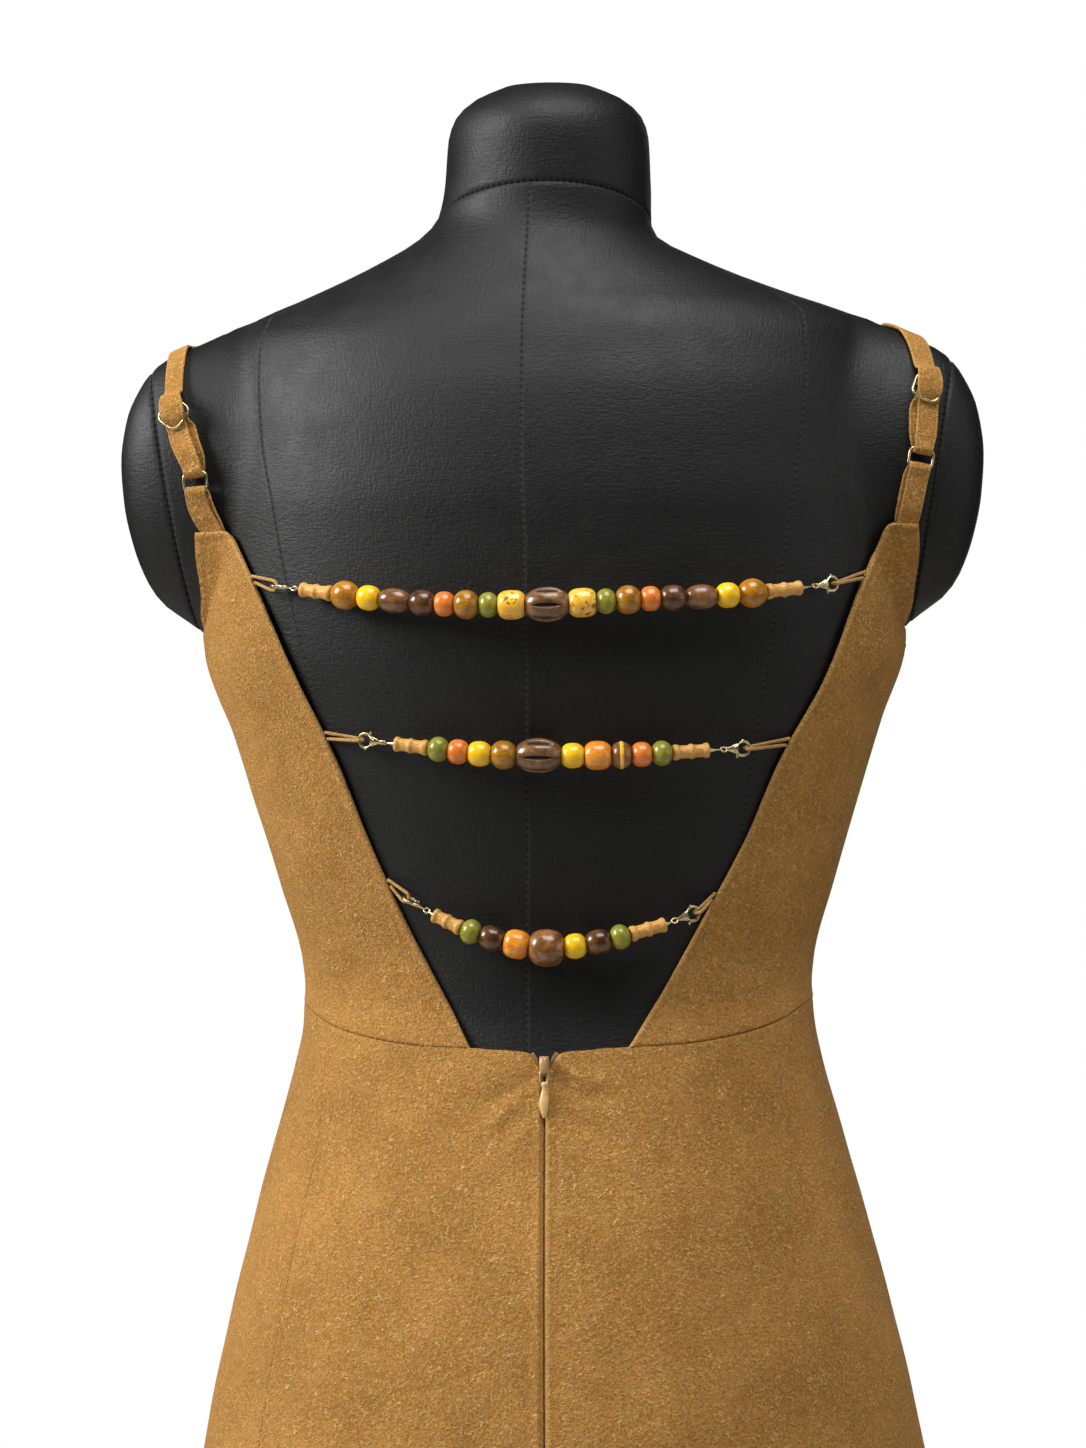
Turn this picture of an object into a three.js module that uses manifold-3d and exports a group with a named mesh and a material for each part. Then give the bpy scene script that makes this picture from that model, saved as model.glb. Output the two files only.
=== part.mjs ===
// A backless suede dress on a limbless dress form and a plain round stand, in millimetres.
// +Z is up, +Y is the way the wearer faces, so the open back faces -Y. The floor is z = 0.
import * as THREE from "three";
import { mergeVertices } from "three/addons/utils/BufferGeometryUtils.js";
import Module from "manifold-3d";

const wasm = await Module();
wasm.setup();

// ---- driving sizes ----
const SEAM_GAP = 0.3; // between two pieces that meet at a seam
const WALL = 1.6; // suede
const FORM_GAP = [
  // z, gap between the form and the bodice that lies on it
  [1080, 0.8],
  [1180, 1.8],
  [1215, 2.75],
];
const HEM_Z = 540;
const FORM_BOTTOM_Z = 750;
const FORM_TOP_Z = 1492;
const POLE_RADIUS = 14;
const BASE_RADIUS = 180;
const BASE_HEIGHT = 14;
const PANEL_TOP_Z = 1272.5; // where each back panel has narrowed to its strap
const UNDERARM_Z = 1216;
const STRAP_WIDTH = 10.5;
const STRAP_THICKNESS = 1.6;
const CORD_RADIUS = 0.9;
const CLASP_RADIUS = 3.4; // centre line of the clasp's ring
const CLASP_WIRE = 0.7;
const CENTRE_BACK_X = -2.5; // the zip, a little left of the form's middle

// ---- the form: one row for each level ----
const FORM_LEVELS = [
  // z, half width, back depth, front depth, roundness of the outline
  [750, 162, 114, 91, 2.25],
  [800, 165, 121, 94, 2.25],
  [840, 164.5, 123, 97, 2.2],
  [885, 158.5, 118, 98, 2.2],
  [935, 147, 107, 97, 2.15],
  [974, 136.5, 96, 95, 2.1],
  [1013, 126, 86, 93, 2.1],
  [1046, 121.4, 80.5, 92, 2.05],
  [1062, 122.6, 80.5, 92.5, 2.05],
  [1101, 133, 84, 97, 2.1],
  [1140, 144.3, 90, 106, 2.15],
  [1180, 156.3, 96, 116, 2.2],
  [1214, 167, 100, 121, 2.2],
  [1245, 168.5, 102, 116, 2.2],
  [1280, 167, 102, 104, 2.2],
  [1310, 165, 99, 93, 2.15],
  [1336, 163, 94, 84, 2.1],
  [1356, 160, 87, 76, 2.0],
  [1366, 156, 83, 71, 1.95],
  [1376, 146, 78, 66, 1.85],
  [1385, 124, 72, 62, 1.85],
  [1395, 99.5, 66, 58, 1.9],
  [1405, 78, 60, 55.5, 1.95],
  [1415, 60.5, 54.5, 54, 2.0],
  [1425, 53.2, 50.5, 53, 2.0],
  [1440, 50.8, 48.5, 52, 2.0],
  [1464, 49, 47.5, 50.5, 2.0],
  [1474, 45.6, 44.5, 47, 2.0],
  [1483, 35.8, 35, 37, 2.0],
  [1489, 22, 21.5, 23, 2.0],
];
const ARM_REACH = [
  // z, reach of the arm stump from the middle
  [1224, 168],
  [1229, 177.6],
  [1238, 190.6],
  [1248, 197.7],
  [1268, 205],
  [1287, 208.7],
  [1307, 210],
  [1327, 207.5],
  [1346, 199.4],
  [1356, 190.6],
  [1366, 169.5],
  [1374, 150],
];
const ARM_MIDDLE_Z = 1298;
const ARM_HALF_HEIGHT = 76;
const ARM_HALF_DEPTH = 52;
const ARM_BLEND = 18; // how softly the stump grows out of the trunk
const CLOTH_BLEND = 42; // how widely the cloth bridges that corner
const RING_LEVELS = [
  750, 800, 850, 900, 950, 985, 1013, 1030, 1046, 1060, 1076, 1098, 1124, 1152, 1180,
  1204, 1217, 1224, 1229, 1237, 1248, 1262, 1279, 1297, 1315, 1331, 1343, 1351, 1358, 1364, 1370,
  1377, 1385, 1395, 1405, 1415, 1426, 1444, 1464, 1474, 1483, 1489,
];
const RING_POINTS = 40;
const CAP_PLANE = { x: 174, z: 1227, lean: 0.165 }; // the flat seam of each arm cap
const NECK_PLANE = { z: 1423, lean: -0.32 }; // the neck seam is higher at the back

// ---- the skirt: one row for each level, to its outer face ----
const SKIRT_LEVELS = [
  // z, half width, back depth, front depth
  [540, 227, 171, 157],
  [620, 213, 160.5, 145],
  [700, 199, 150, 133],
  [780, 184.5, 139, 121],
  [823, 176.4, 133, 116],
  [856, 170, 128.5, 111],
  [895, 161.2, 121.5, 107],
  [935, 150.7, 112.5, 103],
  [974, 139.9, 101, 99.5],
  [1013, 129.1, 90.2, 96.6],
  [1033, 125, 85.6, 95],
  [1050, 124, 83.2, 94.6],
];
const WAVE = { start: 900, depth: 7, count: 9 };
const WAIST_SEAM = [
  // distance from the middle, z
  [0, 1016],
  [7, 1020.5],
  [14, 1023.5],
  [36, 1025.2],
  [61, 1026],
  [80, 1028],
  [100, 1031.8],
  [112, 1035.8],
  [120, 1040],
  [124.5, 1042.4],
];
const SKIRT_SEAM = [
  // z, degrees behind the side
  [900, 30],
  [970, 29],
  [1002, 25.5],
  [1035, 17],
];

// ---- the bodice edges ----
const BACK_EDGE = {
  // z, distance of the panel's inner edge from the middle
  left: [
    [1025, 37],
    [1048, 49],
    [1085, 68],
    [1124, 85],
    [1162, 99.4],
    [1200, 118],
    [1238, 136],
    [1262, 148.5],
    [1272.5, 156.5],
  ],
  right: [
    [1025, 38.8],
    [1048, 49.6],
    [1085, 72],
    [1122, 92],
    [1160, 109],
    [1198, 131],
    [1236, 147.5],
    [1262, 159],
    [1272.5, 165.5],
  ],
};
const ARMHOLE = {
  // z, degrees behind the side of the panel's outer edge
  left: [
    [1216, 0],
    [1222, 3.5],
    [1231, 7.5],
    [1245, 11.5],
    [1258, 13.8],
    [1272.5, 15],
  ],
  right: [
    [1216, 0],
    [1222, 2.2],
    [1231, 5.5],
    [1245, 9.8],
    [1258, 12],
    [1272.5, 13.4],
  ],
};
const NECKLINE = [
  // share of the way from the side seam to the centre front, z
  [0, 1216],
  [0.07, 1218],
  [0.17, 1236],
  [0.25, 1270],
  [0.305, 1295],
  [0.375, 1296],
  [0.42, 1290],
  [0.55, 1277],
  [0.75, 1268],
  [1, 1264],
];

// ---- the straps, from the front bodice over the shoulder to the ring ----
const STRAP_ROUTE = {
  // degrees round the shoulder from level behind to level in front, distance from the middle
  left: [
    [-32, 162],
    [-16, 168],
    [0, 170.2],
    [20, 177],
    [36, 181],
    [56, 179],
    [90, 170],
    [118, 156],
    [150, 138],
    [182, 122.5],
  ],
  right: [
    [-32, 171],
    [-16, 173.6],
    [0, 177.6],
    [20, 181.5],
    [36, 183.5],
    [56, 180],
    [90, 168],
    [118, 155],
    [150, 138],
    [182, 122.5],
  ],
};
const SHOULDER_CENTRE_Z = 1300;

// ---- the bead strings ----
const BEAD = {
  // width along the string, diameter
  amber: [13.6, 13.8],
  smallAmber: [11.6, 13.6],
  yellow: [10.6, 12],
  longBrown: [15, 11.6],
  darkBrown: [12.1, 12.2],
  coral: [9.2, 11.8],
  green: [9.3, 12],
  pale: [12.8, 13.7],
  carved: [20.4, 16.4],
  plainBrown: [16.8, 17.8],
  orange: [12.2, 13.8],
  ringed: [9.3, 12.6],
};
const STRINGS = {
  top: {
    route: [
      [-139.5, 1248.2],
      [-126, 1244.8],
      [-107, 1241.9],
      [-81, 1238.2],
      [-50, 1235],
      [0, 1233.9],
      [45, 1235.8],
      [80, 1237],
      [112, 1240],
      [135, 1243.2],
      [151.6, 1246.9],
    ],
    standOff: 9,
    clasps: [-126.5, 135.1],
    barrels: [
      [-114.8, -99.8],
      [120.4, 104.3],
    ],
    edgeOn: [true, false],
    beads: [
      "amber", "yellow", "longBrown", "darkBrown", "coral", "smallAmber", "green", "pale",
      "carved", "pale", "green", "smallAmber", "coral", "darkBrown", "longBrown", "yellow",
      "amber",
    ],
  },
  middle: {
    route: [
      [-101.9, 1173.8],
      [-85.2, 1172.3],
      [-63, 1169.9],
      [-30, 1165.5],
      [-3.5, 1164.4],
      [40, 1164.3],
      [70, 1166],
      [92.4, 1166.8],
      [112.8, 1168.6],
    ],
    standOff: 9,
    clasps: [-85.2, 92.4],
    barrels: [
      [-70.8, -55],
      [76.5, 59.6],
    ],
    edgeOn: [false, false],
    beads: [
      "green", "coral", "yellow", "smallAmber", "carved", "yellow", "orange", "ringed",
      "coral", "green",
    ],
  },
  bottom: {
    route: [
      [-74.1, 1103.4],
      [-65.5, 1097],
      [-54, 1090.2],
      [-38, 1082.6],
      [-18, 1076],
      [-2, 1073.2],
      [14, 1074.2],
      [36, 1079.2],
      [55, 1084.6],
      [67.9, 1089.4],
      [78.1, 1095.6],
    ],
    standOff: 9.6,
    clasps: [-65.5, 67.9],
    barrels: [
      [-54.2, -41],
      [55, 38.6],
    ],
    edgeOn: [true, false],
    beads: ["green", "darkBrown", "orange", "plainBrown", "yellow", "darkBrown", "green"],
  },
};
const BARREL_PROFILE = [
  // share of the length from the clasp's end, radius
  [0, 2.4],
  [0.06, 2.9],
  [0.36, 2.9],
  [0.42, 3.5],
  [0.54, 3.5],
  [0.6, 2.9],
  [0.82, 3.1],
  [0.88, 3.9],
  [1, 3.8],
];

// ---- the zip ----
const ZIP = { top: 1023, bottom: 830, tapeWidth: 16, tapeThickness: 0.8, tapeDepth: 2.6 };
const SLIDER = { z: 1016.5, width: 4.6, height: 9.5, depth: 2.2 };
const PULL = { linkLength: 6.4, length: 17, width: 4.4, thickness: 1.5, lean: 4.5 };

// ---- colours and finishes ----
const finish = (color, roughness, metalness = 0) =>
  new THREE.MeshStandardMaterial({ color, roughness, metalness });
const SUEDE = finish("#b08040", 0.95);
const COVER = finish("#232325", 0.9);
const BRASS = finish("#c9b98a", 0.3, 1);
const STEEL = finish("#2c2c2e", 0.45, 0.6);
const CORD = finish("#b98545", 0.8);
const PALE_WOOD = finish("#c9984f", 0.55);
const BEAD_WOOD = finish("#8a5a2c", 0.4);
const PULL_ENAMEL = finish("#d9b577", 0.4);
const TAPE = finish("#a87a3f", 0.9);

const radians = THREE.MathUtils.degToRad;
const lerp = THREE.MathUtils.lerp;
const vector = (x, y, z) => new THREE.Vector3(x, y, z);
const FRONT = Math.PI / 2;
const BACK = -Math.PI / 2;

// A column of a table as a smooth curve of its first column, with no overshoot.
function curve(table, column) {
  const xs = table.map((row) => row[0]);
  const ys = table.map((row) => row[column]);
  const slopes = xs.slice(1).map((x, i) => (ys[i + 1] - ys[i]) / (x - xs[i]));
  const tangents = ys.map((_, i) => {
    const before = slopes[Math.max(0, i - 1)];
    const after = slopes[Math.min(slopes.length - 1, i)];
    return before * after <= 0 ? 0 : (2 * before * after) / (before + after);
  });
  return (x) => {
    if (x <= xs[0]) return ys[0];
    if (x >= xs[xs.length - 1]) return ys[ys.length - 1];
    const i = xs.findIndex((edge) => edge > x) - 1;
    const step = xs[i + 1] - xs[i];
    const t = (x - xs[i]) / step;
    const blend = t * t * (3 - 2 * t);
    const bend = (1 - t) * tangents[i] - t * tangents[i + 1];
    return lerp(ys[i], ys[i + 1], blend) + step * t * (1 - t) * bend;
  };
}

// ---- the form's surface ----
const formHalf = curve(FORM_LEVELS, 1);
const formBack = curve(FORM_LEVELS, 2);
const formFront = curve(FORM_LEVELS, 3);
const formPower = curve(FORM_LEVELS, 4);
const armReach = curve(ARM_REACH, 1);

function ovalRadius(angle, half, depth, power) {
  const across = Math.abs(Math.cos(angle) / half) ** power;
  const along = Math.abs(Math.sin(angle) / depth) ** power;
  return (across + along) ** (-1 / power);
}

// Distance of the form's surface from the middle axis, with its corners eased.
function formRadius(angle, z, blend = ARM_BLEND) {
  const depth = Math.sin(angle) < 0 ? formBack(z) : formFront(z);
  const trunk = ovalRadius(angle, formHalf(z), depth, formPower(z));
  const slice = 1 - ((z - ARM_MIDDLE_Z) / ARM_HALF_HEIGHT) ** 2;
  if (slice <= 0) return trunk;
  const arm = ovalRadius(angle, armReach(z), ARM_HALF_DEPTH * Math.sqrt(slice), 5);
  const near = Math.max(blend - Math.abs(trunk - arm), 0) / blend;
  return Math.max(trunk, arm) + (near * near * blend) / 4;
}

const bodiceRadius = (angle, z) => formRadius(angle, z, CLOTH_BLEND);

// ---- the skirt's outer surface ----
const skirtHalf = curve(SKIRT_LEVELS, 1);
const skirtBack = curve(SKIRT_LEVELS, 2);
const skirtFront = curve(SKIRT_LEVELS, 3);

function skirtRadius(angle, z) {
  const depth = Math.sin(angle) < 0 ? skirtBack(z) : skirtFront(z);
  const oval = ovalRadius(angle, skirtHalf(z), depth, 2.12);
  const grown = Math.max(0, (WAVE.start - z) / (WAVE.start - HEM_Z)) ** 1.4;
  const wave = Math.cos(WAVE.count * angle + 0.8 * Math.sin(2 * angle + 0.5));
  return oval + WAVE.depth * grown * (wave - 0.2) * Math.abs(Math.sin(angle)) ** 0.5;
}

const onSurface = (radius, angle, z) =>
  vector(radius(angle, z) * Math.cos(angle), radius(angle, z) * Math.sin(angle), z);

// The way out of a surface at a point of it.
function wayOut(radius, angle, z) {
  const turn = 0.01;
  const rise = 1.5;
  const across = onSurface(radius, angle + turn, z).sub(onSurface(radius, angle - turn, z));
  const up = onSurface(radius, angle, z + rise).sub(onSurface(radius, angle, z - rise));
  return across.cross(up).normalize();
}

// The angle at which a surface passes a given x behind the middle.
function angleBehind(radius, x, z) {
  let near = BACK;
  let far = x < 0 ? -Math.PI : 0;
  for (let i = 0; i < 40; i++) {
    const middle = (near + far) / 2;
    const reached = Math.abs(radius(middle, z) * Math.cos(middle)) > Math.abs(x);
    if (reached) far = middle;
    else near = middle;
  }
  return (near + far) / 2;
}

// A point behind the form at a given x and z, moved out by a distance.
function behindForm(x, z, distance) {
  const angle = angleBehind(bodiceRadius, x, z);
  const point = onSurface(bodiceRadius, angle, z);
  return point.addScaledVector(wayOut(bodiceRadius, angle, z), distance);
}

// ---- closed bodies from grids of points ----
// Its faces are turned about where they would enclose less than nothing.
function bodyFrom(points, faces) {
  let enclosed = 0;
  for (let i = 0; i < faces.length; i += 3) {
    const [a, b, c] = faces.slice(i, i + 3).map((k) => points[k]);
    enclosed += a.dot(b.clone().cross(c));
  }
  const geometry = new THREE.BufferGeometry();
  geometry.setFromPoints(points);
  geometry.setIndex(enclosed < 0 ? [...faces].reverse() : faces);
  return geometry;
}

const evenly = (count) => Array.from({ length: count + 1 }, (_, i) => i / count);

// Two triangles for each cell of a grid of rows, as indices from a first one.
function gridFaces(rows, columns, first, closed, flip) {
  const faces = [];
  const last = closed ? columns : columns - 1;
  for (let row = 0; row < rows - 1; row++)
    for (let column = 0; column < last; column++) {
      const a = first + row * columns + column;
      const b = first + row * columns + ((column + 1) % columns);
      const c = a + columns;
      const d = b + columns;
      if (flip) faces.push(a, c, b, b, c, d);
      else faces.push(a, b, c, b, d, c);
    }
  return faces;
}

// A wall of cloth: place(u, v) gives a point of the outer face and the way out there.
// The rows are shares of the height.
function clothWall(columns, rows, place) {
  const outer = [];
  const inner = [];
  for (const row of rows)
    for (let column = 0; column <= columns; column++) {
      const { point, out } = place(column / columns, row);
      outer.push(point);
      inner.push(point.clone().addScaledVector(out, -WALL));
    }
  const wide = columns + 1;
  const high = rows.length;
  const faces = gridFaces(high, wide, 0, false, false);
  faces.push(...gridFaces(high, wide, outer.length, false, true));
  const rim = [];
  for (let i = 0; i < wide; i++) rim.push(i);
  for (let i = 1; i < high; i++) rim.push(i * wide + wide - 1);
  for (let i = wide - 2; i >= 0; i--) rim.push((high - 1) * wide + i);
  for (let i = high - 2; i > 0; i--) rim.push(i * wide);
  rim.forEach((a, i) => {
    const b = rim[(i + 1) % rim.length];
    const under = outer.length;
    faces.push(a, a + under, b, b, a + under, b + under);
  });
  return bodyFrom([...outer, ...inner], faces);
}

// A body through closed rings of points, with a flat end at each end.
function ringBody(rings) {
  const wide = rings[0].length;
  const points = rings.flat();
  const faces = gridFaces(rings.length, wide, 0, true, false);
  const ends = [rings[0], rings[rings.length - 1]].map((ring) =>
    ring.reduce((sum, p) => sum.add(p), vector(0, 0, 0)).divideScalar(wide),
  );
  const start = points.length;
  points.push(...ends);
  const last = (rings.length - 1) * wide;
  for (let i = 0; i < wide; i++) {
    const next = (i + 1) % wide;
    faces.push(start, next, i);
    faces.push(start + 1, last + i, last + next);
  }
  return bodyFrom(points, faces);
}

// A round body along a path: the radius is worked out from the share of the way.
function roundAlong(path, shares, radiusAt, sides) {
  const frames = shares.map((share) => {
    const middle = path.getPointAt(THREE.MathUtils.clamp(share, 0, 1));
    const ahead = path.getTangentAt(THREE.MathUtils.clamp(share, 0, 1));
    return { middle, ahead };
  });
  let side = vector(0, 0, 1);
  if (Math.abs(frames[0].ahead.z) > 0.8) side = vector(1, 0, 0);
  const rings = frames.map(({ middle, ahead }, i) => {
    side = side.clone().addScaledVector(ahead, -side.dot(ahead)).normalize();
    const other = ahead.clone().cross(side);
    return Array.from({ length: sides }, (_, k) => {
      const turn = (2 * Math.PI * k) / sides;
      const radius = radiusAt(i);
      return middle
        .clone()
        .addScaledVector(side, radius * Math.cos(turn))
        .addScaledVector(other, radius * Math.sin(turn));
    });
  });
  return ringBody(rings);
}

const tube = (path, radius, steps, sides) =>
  roundAlong(path, evenly(steps), () => radius, sides);

// A flat strip along a line of points, each with the way across it.
function strip(stations, width, thickness) {
  const rings = stations.map(({ point, across }, i) => {
    const before = stations[Math.max(0, i - 1)].point;
    const after = stations[Math.min(stations.length - 1, i + 1)].point;
    const ahead = after.clone().sub(before).normalize();
    const side = across.clone().addScaledVector(ahead, -across.dot(ahead)).normalize();
    const up = side.clone().cross(ahead);
    return [
      [-1, -1],
      [1, -1],
      [1, 1],
      [-1, 1],
    ].map(([a, b]) =>
      point
        .clone()
        .addScaledVector(side, (a * width) / 2)
        .addScaledVector(up, (b * thickness) / 2),
    );
  });
  return ringBody(rings);
}

// ---- booleans ----
function asManifold(geometry) {
  const bare = new THREE.BufferGeometry();
  bare.setAttribute("position", geometry.getAttribute("position"));
  bare.setIndex(geometry.index);
  const merged = mergeVertices(bare, 1e-4);
  return new wasm.Manifold(
    new wasm.Mesh({
      numProp: 3,
      vertProperties: merged.attributes.position.array,
      triVerts: new Uint32Array(merged.index.array),
    }),
  );
}

function asGeometry(body) {
  const mesh = body.getMesh();
  const geometry = new THREE.BufferGeometry();
  const points = new Float32Array(mesh.vertProperties);
  geometry.setAttribute("position", new THREE.BufferAttribute(points, 3));
  geometry.setIndex(new THREE.BufferAttribute(new Uint32Array(mesh.triVerts), 1));
  return geometry;
}

const fused = (...geometries) =>
  asGeometry(geometries.map(asManifold).reduce((all, next) => all.add(next)));

// ---- the form and its stand ----
function formBody() {
  const rings = RING_LEVELS.map((z) => {
    const roundness = THREE.MathUtils.smoothstep(z, 1380, 1440);
    const squash = lerp(0.5, 1, roundness);
    return Array.from({ length: RING_POINTS }, (_, i) => {
      const turn = (2 * Math.PI * i) / RING_POINTS;
      return onSurface(formRadius, Math.atan2(squash * Math.sin(turn), Math.cos(turn)), z);
    });
  });
  rings.push(rings[rings.length - 1].map((p) => vector(p.x * 0.3, p.y * 0.3, FORM_TOP_Z)));
  return ringBody(rings);
}

// A thin plate that parts two pieces of the form at their seam.
function seamPlate(width, position, rotation) {
  const plate = new THREE.BoxGeometry(width, width, SEAM_GAP);
  plate.rotateX(rotation.x);
  plate.rotateY(rotation.y);
  plate.translate(position.x, position.y, position.z);
  return asManifold(plate);
}

function formPieces() {
  const lean = Math.atan(CAP_PLANE.lean);
  const cuts = [-1, 1].map((side) =>
    seamPlate(
      220,
      vector(side * (CAP_PLANE.x + 11), 0, CAP_PLANE.z + 11 / CAP_PLANE.lean),
      { x: 0, y: side * (Math.PI / 2 + lean) },
    ),
  );
  const neckTilt = { x: Math.atan(NECK_PLANE.lean), y: 0 };
  cuts.push(seamPlate(200, vector(0, 0, NECK_PLANE.z), neckTilt));
  const whole = asManifold(formBody());
  const parts = cuts.reduce((rest, cut) => rest.subtract(cut), whole).decompose();
  const middleOf = (part) => {
    const { min, max } = part.boundingBox();
    return vector((min[0] + max[0]) / 2, 0, (min[2] + max[2]) / 2);
  };
  const pick = (test) => asGeometry(parts.find((part) => test(middleOf(part))));
  return {
    form_torso: pick((m) => Math.abs(m.x) < 20 && m.z < 1200),
    form_neck: pick((m) => Math.abs(m.x) < 20 && m.z > 1400),
    form_arm_cap_left: pick((m) => m.x < -150),
    form_arm_cap_right: pick((m) => m.x > 150),
  };
}

function lathe(profile, segments) {
  const points = profile.map(([radius, z]) => new THREE.Vector2(radius, z));
  return new THREE.LatheGeometry(points, segments).rotateX(Math.PI / 2);
}

function standPole() {
  const top = FORM_BOTTOM_Z - SEAM_GAP;
  const bottom = BASE_HEIGHT + SEAM_GAP;
  const pole = new THREE.CylinderGeometry(POLE_RADIUS, POLE_RADIUS, top - bottom, 24);
  return pole.rotateX(Math.PI / 2).translate(0, 0, (top + bottom) / 2);
}

function standBase() {
  return lathe(
    [
      [0, 0],
      [BASE_RADIUS - 2, 0],
      [BASE_RADIUS, 2],
      [BASE_RADIUS, 7],
      [BASE_RADIUS - 4, 9.5],
      [POLE_RADIUS + 18, BASE_HEIGHT],
      [0, BASE_HEIGHT],
    ],
    36,
  );
}

// ---- the cloth ----
const clothOn = (radius, angle, z, distance) => {
  const out = wayOut(radius, angle, z);
  return { point: onSurface(radius, angle, z).addScaledVector(out, distance), out };
};
const formGap = curve(FORM_GAP, 1);
const bodiceAt = (angle, z) => clothOn(bodiceRadius, angle, z, formGap(z) + WALL);
const skirtAt = (angle, z) => clothOn(skirtRadius, angle, z, 0);
const waistSeam = curve(WAIST_SEAM, 1);

// Height of the waist seam at an angle.
function seamHeight(angle) {
  if (Math.sin(angle) >= 0) return WAIST_SEAM[WAIST_SEAM.length - 1][1];
  const x = skirtRadius(angle, 1028) * Math.cos(angle);
  return waistSeam(Math.abs(x - CENTRE_BACK_X * Math.max(0, 1 - Math.abs(x) / 40)));
}

// A back bodice panel, from the open back to the side seam and up to the strap.
function backBodice(side) {
  const sign = side === "left" ? -1 : 1;
  const innerEdge = curve(BACK_EDGE[side], 1);
  const armhole = curve(ARMHOLE[side], 1);
  const seamTurn = SEAM_GAP / 2 / 150;
  const turned = (behind) => (sign > 0 ? -behind : behind - Math.PI);
  const angleAt = (u, z) => {
    const inner = angleBehind(formRadius, sign * innerEdge(z), z);
    const outer = turned(radians(armhole(z)) + seamTurn);
    return lerp(inner, outer, u);
  };
  const levels = RING_LEVELS.filter((z) => z > 1040 && z < PANEL_TOP_Z - 5);
  const rows = [0, ...levels.map((z) => (z - 1026) / (PANEL_TOP_Z - 1026)), 1];
  return clothWall(10, rows, (u, v) => {
    let bottom = 1028;
    for (let i = 0; i < 4; i++) bottom = seamHeight(angleAt(u, bottom));
    const z = lerp(bottom + SEAM_GAP / 2, PANEL_TOP_Z, v);
    return bodiceAt(angleAt(u, z), z);
  });
}

// The front bodice, from side seam to side seam under a plain neckline.
function frontBodice() {
  const neckline = curve(NECKLINE, 1);
  const seamTurn = SEAM_GAP / 2 / 150;
  return clothWall(32, evenly(10), (u, v) => {
    const share = u - 0.05 * Math.sin(2 * Math.PI * u);
    const angle = lerp(seamTurn, Math.PI - seamTurn, share);
    const inward = 1 - Math.abs(angle - FRONT) / FRONT;
    const z = lerp(seamHeight(angle) + SEAM_GAP / 2, neckline(inward), v);
    return bodiceAt(angle, z);
  });
}

const skirtSeam = curve(SKIRT_SEAM, 1);
const centreBack = (z) => angleBehind(skirtRadius, CENTRE_BACK_X, z);

// A skirt panel between two edges, each given as an angle at a height.
function skirtPanel(columns, firstEdge, lastEdge) {
  return clothWall(columns, evenly(10), (u, v) => {
    const half = SEAM_GAP / 2 / 140;
    const share = u - 0.07 * Math.sin(2 * Math.PI * u);
    const angleAt = (z) => lerp(firstEdge(z) + half, lastEdge(z) - half, share);
    let top = 1028;
    for (let i = 0; i < 4; i++) top = seamHeight(angleAt(top));
    const z = lerp(HEM_Z, top - SEAM_GAP / 2, v ** 0.85);
    return skirtAt(angleAt(z), z);
  });
}

// ---- the straps ----
// The form's surface seen from the shoulder's middle, in the upright plane at some x.
function shoulderPoint(side, degrees, distance) {
  const sign = side === "left" ? -1 : 1;
  const x = sign * curve(STRAP_ROUTE[side], 1)(degrees);
  const up = Math.sin(radians(degrees));
  const forward = -Math.cos(radians(degrees));
  const at = (t) => vector(x, t * forward, SHOULDER_CENTRE_Z + t * up);
  let inside = 0;
  let outside = 140;
  for (let i = 0; i < 40; i++) {
    const t = (inside + outside) / 2;
    const p = at(t);
    const within = Math.hypot(p.x, p.y) < bodiceRadius(Math.atan2(p.y, p.x), p.z);
    if (within) inside = t;
    else outside = t;
  }
  const point = at(inside);
  const out = wayOut(bodiceRadius, Math.atan2(point.y, point.x), point.z);
  return { point: point.addScaledVector(out, distance), out };
}

// A stretch of strap: degrees and distance from the form, a station for each row.
function strapStations(side, rows) {
  return rows.map(([degrees, distance]) => {
    const { point, out } = shoulderPoint(side, degrees, distance);
    const before = shoulderPoint(side, degrees - 3, distance).point;
    const after = shoulderPoint(side, degrees + 3, distance).point;
    const across = after.sub(before).cross(out).normalize();
    return { point, across };
  });
}

const STRAP_FRONT_END = 182.2; // degrees round the shoulder
const STRAP_FRONT = 2.8; // height of its middle over the form in front
const STRAP_OVER = 5; // height of the outer layer behind, over the folded-back one
const STRAP_UNDER = 1.9; // height of the folded-back layer
const TAB_END = { left: -27.4, right: -29.3 }; // degrees, at the top of the back panel
const TAB_OVER = 4; // height of the tab's outer layer at the panel
const TAB_UNDER = 2;
const LOOP_HEIGHT = 3.8; // height of the ring over the form
const LOOP_RADIUS = 2.15; // from the ring's wire to the middle of the strap round it
const DEGREE = 0.86; // millimetres of strap for one degree round the shoulder
const RING_LENGTH = 10.4; // between the middles of the ring's two bars
const RING_TOP = 0.5; // degrees, the bar that the strap goes round
const RING_BOTTOM = RING_TOP - RING_LENGTH / DEGREE;
const SLIDER_DEGREES = 37;
const SLIDER_HEIGHT = 6.9;
const SLIDER_BUMP = [
  // millimetres from the slider's middle bar, height of the strap's middle
  [6.9, 5],
  [6, 5.05],
  [4.6, 5.7],
  [3.2, 7.4],
  [1.6, 8.7],
  [0, 8.9],
];

// The half turn of a strap round a bar of its ring, from its outer to its inner layer.
const aroundBar = (bar, way) =>
  [90, 60, 30, 0, -30, -60, -90].map((turn) => [
    bar + (way * LOOP_RADIUS * Math.cos(radians(turn))) / DEGREE,
    LOOP_HEIGHT + LOOP_RADIUS * Math.sin(radians(turn)),
  ]);

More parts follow.
